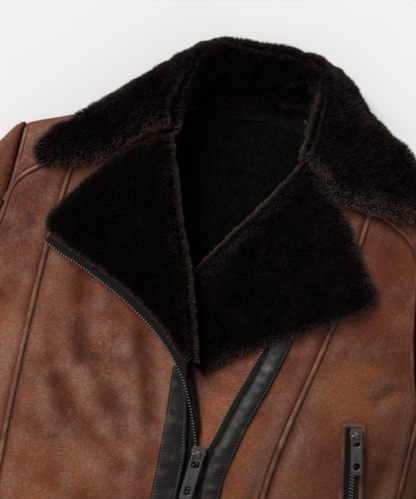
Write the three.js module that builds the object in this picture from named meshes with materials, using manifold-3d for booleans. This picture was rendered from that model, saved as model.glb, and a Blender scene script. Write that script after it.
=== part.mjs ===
// A shearling jacket laid on its back, with an open asymmetric zip, furred lapels and a furred collar.
// Millimetres. x runs to the right as one looks down on it, y runs towards the collar, z is up.
import * as THREE from 'three';
import { mergeVertices } from 'three/addons/utils/BufferGeometryUtils.js';
import Module from 'manifold-3d';

// Walls
const BODY_WALL = 6;
const BACK_WALL = 8;
const FUR_WALL = 10;
const SEAM_HALF_GAP = 0.3;
const LAY_GAP = 3;
// Body as it lies
const HEM_Y = -515;
const EDGE_Z = 20;
const SHOULDER_ROUNDING = 70;
const RIM_BAND = 0.6;
const RIM_WIDTH = 0.1;
const UNDERLAP_START = 28;
const UNDERLAP_FADE = 12;
const NORMAL_STEP = 0.25;
const UNDERARM_Y = -218;
const ARMHOLE_TOP_Y = 18;
const SEAM_B_TOP_Y = -185;
const YOKE_END_Y = { left: -72, right: -52 };
// Sleeves
const SLEEVE_CROWN_Z = 50;
const CUFF_CROWN_Z = 36;
const SLEEVE_LEAN = THREE.MathUtils.degToRad(8);
const SLEEVE_BICEP = 136;
const SLEEVE_CUFF = 112;
const SLEEVE_BELOW_UNDERARM = 350;
const SLEEVE_FULL_WIDTH = 60;
const SLEEVE_RISE_SPAN = 0.45;
const SLEEVE_FALL_SPAN = 0.5;
// Back, where it turns up from the floor: from this share of its half width, and near the shoulder line
const BACK_TURN_FROM = 0.8;
const BACK_SHOULDER_ROUNDING = 26;
const BACK_NECK_HALF = { level: 60, turned: 74 };
// Trim
const STRIP_WIDTH = 6;
const STRIP_LIFT = 0.6;
const STRIP_HEIGHT = 1.2;
const BAND_HEIGHT = 1.5;
const TAPE_HEIGHT = 1.2;
const PANEL_LIFT = 0.8;
const TURNED_TAPE_LIFT = 3.2;
const TAPE_BESIDE_EDGE = -3.4;
// Chest pocket: the middle of its top end, and its yaw from the jacket's own axis
const POCKET = { x: 177, y: -210, yaw: 9.5, length: 132, width: 25, welt: 5.5, height: 1.6 };
const POCKET_TAPE_MARGIN = 0.6;
// Sliders and their pulls: place, yaw, body size, and the pull's plate
const MAIN_SLIDER = {
  x: 31, y: -272, yaw: 0, pullYaw: -5, length: 16, topWidth: 15, endWidth: 11, height: 7, lift: -1,
  pull: { width: 12.6, length: 48, slot: 8, slotEnd: 13.5, holeFrom: 33, holeTo: 42, holeWidth: 6 },
};
const POCKET_SLIDER = {
  x: 181, y: -221, yaw: 9.5, pullYaw: 12, length: 14, topWidth: 13, endWidth: 10, height: 5.5, lift: 2.9,
  pull: { width: 11.6, length: 39, slot: 7, slotEnd: 10.5, holeFrom: 27, holeTo: 34, holeWidth: 6 },
};
const PULL_THICKNESS = 2;
const PULL_BAR = 1.1;
const PULL_CORNER = 3;
const BAIL = { inner: 1.8, thickness: 1.6, width: 4, foot: 0.5, corner: 0.6 };
const SLIDER_NOSE_SHARE = 1 / 1.3;
const HANGER_LOOP = { from: [-6, 67], to: [30, 72], width: 5, thickness: 1.5, steps: 4 };

const COLOURS = {
  leather: { color: 0x6b3d25, roughness: 0.55 },
  seam: { color: 0x744429, roughness: 0.5 },
  fur: { color: 0x1f1614, roughness: 1 },
  band: { color: 0x1b1a19, roughness: 0.4 },
  tape: { color: 0x22261f, roughness: 0.9 },
  metal: { color: 0x4a4744, roughness: 0.35, metalness: 0.9 },
};

// A smooth value through rows of [place, value], with the places in rising order
function smoothTable(rows) {
  return (place) => {
    const last = rows.length - 1;
    const at = THREE.MathUtils.clamp(place, rows[0][0], rows[last][0]);
    let row = 0;
    while (row < last - 1 && rows[row + 1][0] < at) row += 1;
    const [x0, y0] = rows[row];
    const [x1, y1] = rows[row + 1];
    const slope = (k) => {
      const low = rows[Math.max(k - 1, 0)];
      const high = rows[Math.min(k + 1, last)];
      return (high[1] - low[1]) / (high[0] - low[0]);
    };
    const t = (at - x0) / (x1 - x0);
    const span = x1 - x0;
    return (2 * t ** 3 - 3 * t ** 2 + 1) * y0 + (t ** 3 - 2 * t ** 2 + t) * span * slope(row)
      + (3 * t ** 2 - 2 * t ** 3) * y1 + (t ** 3 - t ** 2) * span * slope(row + 1);
  };
}

// The body's shape as it lies: half width and crown height by y, shoulder line by distance from the middle
const halfWidth = smoothTable([
  [HEM_Y, 252], [-330, 258], [-215, 262], [-150, 254], [-72, 246], [12, 240], [40, 236],
]);
const crown = smoothTable([[HEM_Y, 42], [-400, 49], [-250, 55], [-100, 56], [20, 54]]);
const shoulderLine = smoothTable([[0, 80], [74, 70], [122, 54], [173, 34], [211, 18], [225, 6]]);
const armholeX = smoothTable([
  [UNDERARM_Y, halfWidth(UNDERARM_Y)], [SEAM_B_TOP_Y, 241], [-130, 224], [-72, 214], [-30, 210.5],
  [ARMHOLE_TOP_Y, 210],
]);
const seamBX = smoothTable([[HEM_Y, 232], [-275, 238], [SEAM_B_TOP_Y, 241]]);
const PRINCESS_TOP_Y = -2;
const princessX = {
  left: smoothTable([
    [HEM_Y, 158], [-320, 162], [-228, 163], [-97, 160], [-42, 155], [PRINCESS_TOP_Y, 151],
  ]),
  right: smoothTable([
    [HEM_Y, 92], [-303, 103], [-241, 111], [-161, 128], [-124, 135], [-34, 146], [PRINCESS_TOP_Y, 149],
  ]),
};
// How far the right front sinks under the left one: y, x of the zip, depth and width of the slope
const underlapZip = smoothTable([[HEM_Y, 33], [-273, 34], [-218, 53], [-157, 72], [40, 72]]);
const underlapDepth = smoothTable([
  [HEM_Y, 9.5], [-262, 10], [-230, 15], [-195, 22], [-60, 22], [0, 12], [50, 0],
]);
const underlapSpan = smoothTable([[HEM_Y, 60], [-262, 60], [-195, 82], [40, 85]]);

const sideSign = { left: -1, right: 1 };

// Height of the front's outer face over a point, before the right front sinks under the left
function frontHeight(x, y) {
  const across = Math.min(Math.abs(x) / (halfWidth(y) - RIM_WIDTH), 1);
  const nearShoulder = THREE.MathUtils.clamp((shoulderLine(Math.abs(x)) - y) / SHOULDER_ROUNDING, 0, 1);
  const rounding = Math.sqrt(1 - across ** 5) * Math.sqrt(1 - (1 - nearShoulder) ** 3);
  return EDGE_Z + (crown(y) - EDGE_Z) * rounding;
}

// Height of the right front: it slopes down to the left, to pass under the left front
function rightHeight(x, y) {
  const fromStart = UNDERLAP_START - (x - underlapZip(y));
  const slope = THREE.MathUtils.smoothstep(fromStart / underlapSpan(y), 0, 1);
  const fade = THREE.MathUtils.smoothstep(princessX.right(y) - x, 0, UNDERLAP_FADE);
  return frontHeight(x, y) - fade * underlapDepth(y) * slope;
}

const heightOf = { left: frontHeight, right: rightHeight };

// Height of the back's outer face: flat on the floor, rounded up to the side edges and the shoulders
function backHeight(x, y) {
  const out = Math.abs(x);
  const share = out / (halfWidth(y) - RIM_WIDTH);
  const across = THREE.MathUtils.clamp((share - BACK_TURN_FROM) / (1 - BACK_TURN_FROM), 0, 1);
  const onShoulder = THREE.MathUtils.smoothstep(out, BACK_NECK_HALF.level, BACK_NECK_HALF.turned);
  const below = (shoulderLine(out) - y) / BACK_SHOULDER_ROUNDING;
  const nearShoulder = THREE.MathUtils.clamp(1 - below, 0, 1) * onShoulder;
  const turn = Math.min(Math.hypot(across, nearShoulder), 1);
  return EDGE_Z * (1 - Math.sqrt(1 - turn ** 3));
}

// Outward unit normal of a height field, level where the field turns vertical
function heightNormal(height, x, y, up) {
  const east = (height(x + NORMAL_STEP, y) - height(x - NORMAL_STEP, y)) / (2 * NORMAL_STEP);
  const north = (height(x, y + NORMAL_STEP) - height(x, y - NORMAL_STEP)) / (2 * NORMAL_STEP);
  const onRim = Math.abs(height(x, y) - EDGE_Z) < RIM_BAND;
  const normal = new THREE.Vector3(-east, -north, onRim ? 0 : 1).normalize();
  return up ? normal : normal.negate();
}

const vec = (x, y, z = 0) => new THREE.Vector3(x, y, z);
const lastOf = (row) => row[row.length - 1];
const straight = (a, b, count) => spread(count, (t) => a.clone().lerp(b, t));
const joinRows = (...rows) => rows.reduce((all, row) => [...all, ...row.slice(all.length ? 1 : 0)], []);
const spread = (count, make) => Array.from({ length: count + 1 }, (_, k) => make(k / count));
const pathThrough = (points, count) => {
  const places = points.map(([x, y, z = 0]) => vec(x, y, z));
  const curve = new THREE.CatmullRomCurve3(places, false, 'centripetal');
  return spread(count, (t) => curve.getPoint(t));
};

// Closed mesh from a grid of outer points and the matching grid of inner points
function wallMesh(name, outer, inner, look) {
  const rows = outer.length;
  const columns = outer[0].length;
  const positions = [...outer.flat(), ...inner.flat()].flatMap((p) => [p.x, p.y, p.z]);
  const index = [];
  const id = (layer, i, j) => layer * rows * columns + i * columns + j;
  const quad = (a, b, c, d) => index.push(a, b, c, a, c, d);
  const end = columns - 1;
  for (let i = 0; i < rows - 1; i += 1) {
    for (let j = 0; j < columns - 1; j += 1) {
      quad(id(0, i, j), id(0, i + 1, j), id(0, i + 1, j + 1), id(0, i, j + 1));
      quad(id(1, i, j), id(1, i, j + 1), id(1, i + 1, j + 1), id(1, i + 1, j));
    }
  }
  for (let i = 0; i < rows - 1; i += 1) {
    quad(id(0, i, 0), id(1, i, 0), id(1, i + 1, 0), id(0, i + 1, 0));
    quad(id(0, i + 1, end), id(1, i + 1, end), id(1, i, end), id(0, i, end));
  }
  for (let j = 0; j < columns - 1; j += 1) {
    quad(id(0, 0, j + 1), id(1, 0, j + 1), id(1, 0, j), id(0, 0, j));
    quad(id(0, rows - 1, j), id(1, rows - 1, j), id(1, rows - 1, j + 1), id(0, rows - 1, j + 1));
  }
  return namedMesh(name, positions, index, look);
}

// Closed mesh from a row of closed section loops. Each end is capped by rungs between matching points of
// the loop, given as pairs, and by one face over the points before the first rung.
function loftMesh(name, loops, look, rungs = []) {
  const size = loops[0].length;
  const positions = loops.flat().flatMap((p) => [p.x, p.y, p.z]);
  const index = [];
  for (let i = 0; i < loops.length - 1; i += 1) {
    for (let j = 0; j < size; j += 1) {
      const next = (j + 1) % size;
      index.push(i * size + j, (i + 1) * size + j, (i + 1) * size + next);
      index.push(i * size + j, (i + 1) * size + next, i * size + next);
    }
  }
  const lastStart = (loops.length - 1) * size;
  capFaces(loops[0], rungs).forEach(([a, b, c]) => index.push(a, b, c));
  capFaces(lastOf(loops), rungs).forEach(([a, b, c]) => {
    index.push(lastStart + a, lastStart + c, lastStart + b);
  });
  return namedMesh(name, positions, index, look);
}

// Triangles over one loop, all turning the same way as the loop itself
function capFaces(loop, rungs) {
  const faces = rungs.slice(1).flatMap(([b, c], k) => {
    const [a, d] = rungs[k];
    return b === c ? [[a, b, d]] : [[a, b, c], [a, c, d]];
  });
  const rest = loop.map((_, k) => k).filter((k) => !rungs.length || k <= rungs[0][0] || k >= rungs[0][1]);
  const levelFrom = rest.map((k) => loop[k].clone().sub(loop[rest[0]]).setZ(0));
  const longest = levelFrom.reduce((most, step) => (step.length() > most.length() ? step : most));
  const axis = longest.clone().normalize();
  const flat = rest.map((k, n) => new THREE.Vector2(levelFrom[n].dot(axis), loop[k].z));
  const turn = Math.sign(THREE.ShapeUtils.area(flat));
  THREE.ShapeUtils.triangulateShape(flat, []).forEach(([a, b, c]) => {
    const same = Math.sign(THREE.ShapeUtils.area([flat[a], flat[b], flat[c]])) === turn;
    faces.push(same ? [rest[a], rest[b], rest[c]] : [rest[a], rest[c], rest[b]]);
  });
  return faces;
}

function namedMesh(name, positions, index, look) {
  const geometry = new THREE.BufferGeometry();
  geometry.setAttribute('position', new THREE.Float32BufferAttribute(positions, 3));
  geometry.setIndex(signedVolume(positions, index) < 0 ? flipped(index) : index);
  geometry.computeVertexNormals();
  const mesh = new THREE.Mesh(geometry, new THREE.MeshStandardMaterial(COLOURS[look]));
  mesh.name = name;
  return mesh;
}

function signedVolume(positions, index) {
  const corner = (k) => vec(positions[3 * k], positions[3 * k + 1], positions[3 * k + 2]);
  let volume = 0;
  for (let k = 0; k < index.length; k += 3) {
    volume += corner(index[k]).dot(corner(index[k + 1]).cross(corner(index[k + 2]))) / 6;
  }
  return volume;
}

const flipped = (index) => index.map((_, k) => index[k - (k % 3) + [0, 2, 1][k % 3]]);

// Direction square to a grid of points at one of them, not of unit length
function squareTo(grid, i, j) {
  const row = grid[i];
  const along = grid[Math.min(i + 1, grid.length - 1)][j].clone().sub(grid[Math.max(i - 1, 0)][j]);
  const across = row[Math.min(j + 1, row.length - 1)].clone().sub(row[Math.max(j - 1, 0)]);
  return along.cross(across);
}

// A net of points between four edge rows that share their corners
function net(left, right, top, bottom) {
  const rows = left.length - 1;
  const columns = top.length - 1;
  return left.map((_, i) => top.map((__, j) => {
    const u = i / rows;
    const v = j / columns;
    const sides = left[i].clone().multiplyScalar(1 - v).addScaledVector(right[i], v);
    const ends = top[j].clone().multiplyScalar(1 - u).addScaledVector(bottom[j], u);
    const corners = left[0].clone().multiplyScalar((1 - u) * (1 - v))
      .addScaledVector(right[0], (1 - u) * v)
      .addScaledVector(left[rows], u * (1 - v))
      .addScaledVector(right[rows], u * v);
    return sides.add(ends).sub(corners);
  }));
}

// Draws the net's border points in from the seam by half a seam gap
function pullIn(grid) {
  const rows = grid.length - 1;
  const columns = grid[0].length - 1;
  const clamp = (k, last) => Math.min(Math.max(k, 1), last - 1);
  return grid.map((row, i) => row.map((p, j) => {
    const towards = grid[clamp(i, rows)][clamp(j, columns)];
    if (towards === p) return p;
    const along = grid[i][clamp(j, columns)];
    const down = grid[clamp(i, rows)][j];
    const moved = p.clone();
    if (along !== p) moved.addScaledVector(along.clone().sub(p).normalize(), SEAM_HALF_GAP);
    if (down !== p) moved.addScaledVector(down.clone().sub(p).normalize(), SEAM_HALF_GAP);
    return moved;
  }));
}

// Parts the front and back walls where they meet at mid height
function partRim(grid, up) {
  const rimZ = EDGE_Z + (up ? SEAM_HALF_GAP : -SEAM_HALF_GAP);
  const onRim = (p) => Math.abs(p.z - EDGE_Z) < 2 * RIM_BAND;
  return grid.map((row) => row.map((p) => (onRim(p) ? p.clone().setZ(rimZ) : p)));
}

// A body panel: its plan net laid on a height field, with its wall on the inner side
function panel(name, plan, height, wall, up, look) {
  const raised = plan.map((row) => row.map((p) => vec(p.x, p.y, height(p.x, p.y))));
  const outer = partRim(pullIn(raised), up);
  const inner = outer.map((row, i) => row.map((p, j) => {
    const at = raised[i][j];
    return p.clone().addScaledVector(heightNormal(height, at.x, at.y, up), -wall);
  }));
  return wallMesh(name, outer, inner, look);
}

// Sections along each lapel: the roll line, the outer edge, and how high the roll stands above the front
const LAPEL_COLUMNS = ['rollX', 'rollY', 'edgeX', 'edgeY', 'puff'];
const LAPELS = {
  left: [
    [-61, 34, -118, -6, 21],
    [-58.6, 23, -134, -27, 20],
    [-48, -7, -150, -48, 19],
    [-32, -55, -167, -78, 18],
    [-17, -92, -140, -95, 17],
    [-5, -130, -81, -120, 16],
    [5, -164, -33, -151, 14],
    [10, -183, -8, -178, 13],
  ],
  right: [
    [73, 33, 118, -6, 18],
    [63, 16, 130, -18, 17],
    [49, -8, 145, -40, 16],
    [28, -39, 160, -62, 15],
    [10, -65, 174, -82, 13],
    [-5, -88, 166, -97, 12],
    [-14, -103, 134, -117, 11.5],
    [-24, -124, 92, -142, 11],
    [-30, -146, 56, -165, 10.5],
    [-32, -170, 22, -194, 10.5],
  ],
};
const ROLL_SETBACK = 10.3;
const ROLL_FADE = 34;
const LEAF_STEPS = 9;
const LEAF_INSET = 0.3;
const LEAF_EDGE_ROUNDING = 2;
// The fold's outer face: how far in from the roll line, and how high in parts of the roll's height
const FOLD_FACE = [[0, 0.3], [0.8, 0.65], [4, 0.9]];
// The fold's inner face below it: how far in from the roll line, and how far below the front
const FOLD_FOOT = [[10, 6], [4.5, 5.4], [1.2, 2]];
const FOLD_BACK = [[9.4, 0.5], [10, 0]];
const FOLD_BACK_LIFT = 0.9;

const namedRow = (columns, row) => Object.fromEntries(columns.map((c, k) => [c, row[k]]));
const namedRows = (columns, rows) => rows.map((row) => namedRow(columns, row));

// Where the front's edge meets the lapel's fold, one point for each lapel section
const foldPoints = (side) => namedRows(LAPEL_COLUMNS, LAPELS[side]).map((s) => {
  const roll = vec(s.rollX, s.rollY);
  const edge = vec(s.edgeX, s.edgeY);
  return roll.clone().addScaledVector(edge.sub(roll).normalize(), ROLL_SETBACK);
});

// Lapel sections: the fold rises round the roll line and lies back on the front, thinning to its outer edge
function lapel(side) {
  const height = heightOf[side];
  const rest = LAY_GAP + FUR_WALL;
  const loops = namedRows(LAPEL_COLUMNS, LAPELS[side]).map((s) => {
    const roll = vec(s.rollX, s.rollY);
    const edge = vec(s.edgeX, s.edgeY);
    const width = roll.distanceTo(edge);
    const run = edge.clone().sub(roll).normalize();
    const base = (reach) => {
      const p = roll.clone().addScaledVector(run, Math.max(reach, ROLL_SETBACK));
      return height(p.x, p.y);
    };
    const at = (reach, lift) => {
      const p = roll.clone().addScaledVector(run, reach);
      return vec(p.x, p.y, base(reach) + lift);
    };
    const top = (reach) => rest + Math.max(s.puff - rest, 0) * Math.exp(-((reach / ROLL_FADE) ** 2));
    const leafStart = ROLL_SETBACK - LEAF_INSET;
    const leafEnd = width - LEAF_EDGE_ROUNDING;
    const reachOf = (t) => THREE.MathUtils.lerp(leafStart, leafEnd, t);
    const outer = [
      ...FOLD_FOOT.map(([reach, drop]) => at(reach, -drop)),
      ...FOLD_FACE.map(([reach, share]) => at(reach, share * s.puff)),
      ...spread(LEAF_STEPS, (t) => at(reachOf(t), top(reachOf(t)))),
    ];
    const tail = [at(width, top(width) - LAY_GAP), at(width, LAY_GAP + LEAF_EDGE_ROUNDING)];
    const under = spread(LEAF_STEPS, (t) => {
      const reach = reachOf(1 - t);
      const floor = t === 1 ? FOLD_BACK_LIFT : LAY_GAP;
      return at(Math.max(reach, leafStart - LEAF_INSET), Math.max(top(reach) - FUR_WALL, floor));
    });
    return [...outer, ...tail, ...under, ...FOLD_BACK.map(([reach, lift]) => at(reach, lift))];
  });
  const firstTop = FOLD_FOOT.length + FOLD_FACE.length;
  const lastUnder = firstTop + 2 * LEAF_STEPS + 3;
  const rungs = Array.from({ length: LEAF_STEPS + 2 }, (_, k) => [firstTop + k, lastUnder - k]);
  return loftMesh(`lapel_${side}`, loops, 'fur', rungs);
}

// Collar sections, left notch to right notch: its furred face from the neck seam over the roll to the edge
const COLLAR_POINTS = ['neck', 'roll', 'nearLeaf', 'midLeaf', 'farLeaf', 'edge'];
const COLLAR = [
  [[-53, 38, 57], [-61, 42, 73], [-88, 31.5, 67], [-117, -1, 60], [-158, -18, 57], [-190, -20, 54]],
  [[-55, 50, 44], [-63, 50, 74], [-92, 44, 68], [-123, 22, 62], [-162, -4, 58], [-196, -8, 52]],
  [[-55, 64, 28], [-62, 70, 75], [-90, 62, 68], [-124, 42, 62], [-160, 22, 58], [-187, 12, 53]],
  [[-53, 71, 21], [-57, 88, 74], [-82, 82, 67], [-113, 64, 60], [-145, 44, 56], [-168, 33, 50]],
  [[-48, 74, 19], [-53, 104, 72], [-72, 101, 65], [-98, 86, 52], [-120, 72, 34], [-124, 69, 16]],
  [[-38, 77, 18], [-47, 121, 64], [-58, 124, 56], [-72, 116, 42], [-84, 102, 24], [-80, 96, 10]],
  [[-22, 80, 17], [-28, 131, 46], [-31, 139, 38], [-36, 141, 24], [-36, 134, 6], [-33, 116, 2]],
  [[0, 83, 16], [0, 130, 38], [0, 141, 32], [0, 145.5, 18], [0, 139, 4], [0, 115, 2]],
  [[25, 85.5, 16], [25, 130, 37], [25, 143, 31], [25, 147.5, 18], [25, 141, 4], [25, 116, 2]],
  [[48, 86, 17], [52, 130, 44], [53, 143, 36], [55, 146, 22], [54, 140, 5], [51, 118, 2]],
  [[62, 85.5, 18], [73, 124, 63], [82, 131, 54], [94, 132, 40], [104, 122, 22], [98, 114, 9]],
  [[69, 82, 20], [77, 104, 72], [98, 103, 65], [122, 96, 52], [143, 88, 36], [144, 84, 20]],
  [[71, 74, 26], [77, 86, 74], [106, 80, 67], [138, 74, 60], [170, 70, 52], [184, 66, 42]],
  [[71, 62, 34], [76.5, 66, 74], [108, 58, 67], [146, 48, 61], [180, 42, 56], [207, 42, 49]],
  [[68, 48, 46], [75.5, 50, 73], [104, 40, 67], [138, 26, 61], [178, 14, 57], [213, 18, 51]],
  [[65, 38, 57], [73, 41, 71], [93, 20.5, 66], [119, 1, 60], [162, -2, 57], [204, -2, 54]],
];
const COLLAR_STEPS_ALONG = 36;
const COLLAR_STEPS_ACROSS = 14;
// Where the collar's leaf lies on the shoulder and is held clear of it
const COLLAR_ON_SHOULDER = { fromX: 66, margin: 3, fromStep: 3 };

function collar() {
  const sections = COLLAR.map((row) => pathThrough(row, COLLAR_STEPS_ACROSS));
  const lines = sections[0].map((_, j) => {
    const crossings = sections.map((section) => section[j].toArray());
    return pathThrough(crossings, COLLAR_STEPS_ALONG);
  });
  const outer = lines[0].map((_, i) => lines.map((line) => line[i]));
  const inner = outer.map((row, i) => row.map((p, j) => (
    p.clone().addScaledVector(squareTo(outer, i, j).normalize(), -FUR_WALL))));
  outer.forEach((row, i) => row.forEach((p, j) => {
    const leather = inner[i][j];
    const out = Math.abs(leather.x);
    const inFront = leather.y < shoulderLine(out) + COLLAR_ON_SHOULDER.margin;
    const onShoulder = out > COLLAR_ON_SHOULDER.fromX && inFront;
    const lift = frontHeight(leather.x, leather.y) + LAY_GAP - leather.z;
    if (onShoulder && j >= COLLAR_ON_SHOULDER.fromStep && lift > 0) {
      p.z += lift;
      leather.z += lift;
    }
  }));
  return wallMesh('collar', outer, inner, 'fur');
}

// Seam lines in plan, each an even row of points that both panels of the seam share
const ROWS_MIDDLE = 5;
const ROWS_UPPER = 4;
const ROWS_LOWER = 2;
const PANEL_COLUMNS = 5;
const ZIP_EDGE = {
  left: [[5.9, -208], [11.9, -231.6], [18.5, -277], [18.7, -330], [18.7, -420], [18.7, HEM_Y]],
  right: [[-28, -205], [-26, -260], [-24, -330], [-22, -420], [-20, HEM_Y]],
};
const YOKE_OUTER = {
  left: [[-151, -2], [-170, -13], [-198, -35], [-208, -53], [-214, -72]],
  right: [[149, -2], [164, -3], [191, -18], [204, -32], [212.5, -52]],
};
const NECKLINE_TOP_X = { left: 74, right: 87 };
const NECKLINE_MIDDLE = { left: [-71.5, 52], right: [84.5, 50] };
const YOKE_INNER_MIDDLE = { x: 105, y: 20 };

function bodySeams(side) {
  const sign = sideSign[side];
  const armhole = (from, to, count) => spread(count, (t) => {
    const y = THREE.MathUtils.lerp(from, to, t);
    return vec(sign * armholeX(y), y);
  });
  const yokeEnd = YOKE_END_Y[side];
  const fold = foldPoints(side);
  const frontEdge = [...fold, ...ZIP_EDGE[side].map(([x, y]) => vec(x, y))];
  const rows = frontEdge.length - 1;
  const princess = spread(rows, (t) => {
    const y = THREE.MathUtils.lerp(PRINCESS_TOP_Y, HEM_Y, t);
    return vec(sign * princessX[side](y), y);
  });
  const armUpper = armhole(ARMHOLE_TOP_Y, yokeEnd, ROWS_UPPER);
  const armMiddle = armhole(yokeEnd, SEAM_B_TOP_Y, ROWS_MIDDLE);
  const armLower = armhole(SEAM_B_TOP_Y, UNDERARM_Y, ROWS_LOWER);
  const seamB = spread(rows - ROWS_MIDDLE, (t) => {
    const y = THREE.MathUtils.lerp(SEAM_B_TOP_Y, HEM_Y, t);
    return vec(sign * seamBX(y), y);
  });
  const sideEdge = spread(rows - ROWS_MIDDLE, (t) => {
    const y = THREE.MathUtils.lerp(UNDERARM_Y, HEM_Y, t);
    return vec(sign * halfWidth(y), y);
  });
  const yokeOuter = pathThrough(YOKE_OUTER[side], PANEL_COLUMNS);
  sideEdge[0].copy(lastOf(armLower));
  yokeOuter[0].copy(princess[0]);
  yokeOuter[PANEL_COLUMNS].copy(armUpper[ROWS_UPPER]);
  const yokeInnerMiddle = [sign * YOKE_INNER_MIDDLE.x, YOKE_INNER_MIDDLE.y];
  const yokeInner = pathThrough([fold[0].toArray(), yokeInnerMiddle, princess[0].toArray()], PANEL_COLUMNS);
  const shoulder = spread(2 * PANEL_COLUMNS, (t) => {
    const x = THREE.MathUtils.lerp(NECKLINE_TOP_X[side], armUpper[0].x * sign, t);
    return vec(sign * x, shoulderLine(x));
  });
  shoulder[2 * PANEL_COLUMNS].copy(armUpper[0]);
  const necklinePoints = [shoulder[0].toArray(), NECKLINE_MIDDLE[side], fold[0].toArray()];
  const neckline = pathThrough(necklinePoints, ROWS_UPPER);
  return {
    frontEdge, princess, armUpper, armMiddle, armLower, seamB, sideEdge,
    yokeOuter, yokeInner, shoulder, neckline,
  };
}

const seams = { left: bodySeams('left'), right: bodySeams('right') };

// The panels of one front, each from its four seams; the nets run from the middle outwards
function frontPanels(side) {
  const s = seams[side];
  const height = heightOf[side];
  const hem = (from, to, count) => straight(lastOf(from), lastOf(to), count);
  const sideFrontEdge = joinRows(s.armMiddle, s.seamB);
  const centreNet = net(s.frontEdge, s.princess, s.yokeInner, hem(s.frontEdge, s.princess, PANEL_COLUMNS));
  const sideNet = net(s.princess, sideFrontEdge, s.yokeOuter, hem(s.princess, s.seamB, PANEL_COLUMNS));
  const edgeNet = net(s.seamB, s.sideEdge, s.armLower, hem(s.seamB, s.sideEdge, ROWS_LOWER));
  const yokeNet = net(s.neckline, s.armUpper, s.shoulder, joinRows(s.yokeInner, s.yokeOuter));
  return [
    panel(`centre_front_${side}`, centreNet, height, BODY_WALL, true, 'leather'),
    panel(`side_front_${side}`, sideNet, frontHeight, BODY_WALL, true, 'leather'),
    panel(`side_panel_${side}`, edgeNet, frontHeight, BODY_WALL, true, 'leather'),
    panel(`yoke_${side}`, yokeNet, height, BODY_WALL, true, 'leather'),
  ];
}

const BACK_NECK = [[-74, 70], [-57, 73], [-23, 79.5], [16, 84.5], [48, 85.5], [72, 80], [87, 66]];
const BACK_NECK_COLUMNS = 8;

function backPanel() {
  const { left, right } = seams;
  const neck = pathThrough(BACK_NECK, BACK_NECK_COLUMNS);
  neck[0].copy(left.shoulder[0]);
  neck[BACK_NECK_COLUMNS].copy(right.shoulder[0]);
  const top = joinRows([...left.shoulder].reverse(), neck, right.shoulder);
  const rowsOf = (s) => joinRows(s.armUpper, s.armMiddle, s.armLower, s.sideEdge);
  const [leftRows, rightRows] = [rowsOf(left), rowsOf(right)];
  while (leftRows.length < rightRows.length) {
    const low = leftRows[leftRows.length - 2];
    leftRows.splice(leftRows.length - 1, 0, low.clone().lerp(lastOf(leftRows), 0.5));
  }
  const bottom = straight(lastOf(leftRows), lastOf(rightRows), top.length - 1);
  return panel('back', net(leftRows, rightRows, top, bottom), backHeight, BACK_WALL, false, 'leather');
}

// Sleeve cap: outer edge of the sleeve beside the armhole, from the shoulder point down to the underarm
const SLEEVE_CAP = [
  [-219, 12], [-229, -5], [-244, -28], [-268, -55], [-300, -90], [-340, -135], [-374, -178], [-398, -212],
];
const SLEEVE_ROWS_BELOW = 8;
const SLEEVE_COLUMNS = 8;

function sleeve(side) {
  const sign = sideSign[side];
  const s = seams[side];
  const armhole = joinRows(s.armUpper, s.armMiddle, s.armLower);
  const capRows = armhole.length - 1;
  const cap = pathThrough(SLEEVE_CAP.map(([x, y]) => [-sign * x, y]), capRows);
  const run = vec(sign * Math.sin(SLEEVE_LEAN), -Math.cos(SLEEVE_LEAN));
  const out = vec(sign * Math.cos(SLEEVE_LEAN), Math.sin(SLEEVE_LEAN));
  const middleTop = lastOf(armhole).clone().addScaledVector(out, SLEEVE_BICEP / 2);
  const edgeLine = (towards) => spread(SLEEVE_ROWS_BELOW, (t) => {
    const width = THREE.MathUtils.lerp(SLEEVE_BICEP, SLEEVE_CUFF, t);
    const middle = middleTop.clone().addScaledVector(run, t * SLEEVE_BELOW_UNDERARM);
    return middle.addScaledVector(out, towards * width / 2);
  });
  const innerEdge = joinRows(armhole, edgeLine(-1));
  const outerEdge = joinRows(cap, edgeLine(1));
  outerEdge[capRows].lerp(edgeLine(1)[0], 0.5);
  const rows = innerEdge.length - 1;
  const faceOf = (up) => innerEdge.map((from, i) => {
    const onArmhole = i <= capRows;
    const below = Math.max((i - capRows) / (rows - capRows), 0);
    const crownZ = up ? THREE.MathUtils.lerp(SLEEVE_CROWN_Z, CUFF_CROWN_Z, below) : 0;
    const seamZ = up ? frontHeight(from.x, from.y) : backHeight(from.x, from.y);
    const startZ = onArmhole ? seamZ : EDGE_Z;
    const size = Math.min(from.distanceTo(outerEdge[i]) / SLEEVE_FULL_WIDTH, 1);
    const top = up ? THREE.MathUtils.lerp(Math.max(startZ, EDGE_Z), crownZ, size) : 0;
    return spread(SLEEVE_COLUMNS, (v) => {
      const t = (1 - Math.cos(Math.PI * v)) / 2;
      const p = from.clone().lerp(outerEdge[i], t);
      const first = (startZ - EDGE_Z) / (top - EDGE_Z || 1);
      const risen = 1 - Math.max(1 - t / SLEEVE_RISE_SPAN, 0) ** 3;
      const rise = Math.sqrt(first ** 2 + (1 - first ** 2) * risen);
      const fallen = Math.max((t - 1 + SLEEVE_FALL_SPAN) / SLEEVE_FALL_SPAN, 0) ** 3;
      const fall = Math.sqrt(1 - fallen);
      return p.setZ(EDGE_Z + (top - EDGE_Z) * rise * fall);
    });
  });
  return ['upper', 'under'].map((half) => {
    const up = half === 'upper';
    const raised = faceOf(up);
    const outer = partRim(pullIn(raised), up);
    const inner = offsetWall(outer, up ? BODY_WALL : -BODY_WALL, sign);
    return wallMesh(`sleeve_${half}_${side}`, outer, inner, 'leather');
  });
}

// Inner points of a wall, square to the net's own slope
function offsetWall(outer, wall, sign) {
  return outer.map((row, i) => row.map((p, j) => {
    const square = squareTo(outer, i, j);
    if (Math.abs(p.z - EDGE_Z) < RIM_BAND) square.setZ(0);
    return p.clone().addScaledVector(square.normalize(), -wall * sign);
  }));
}

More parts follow.
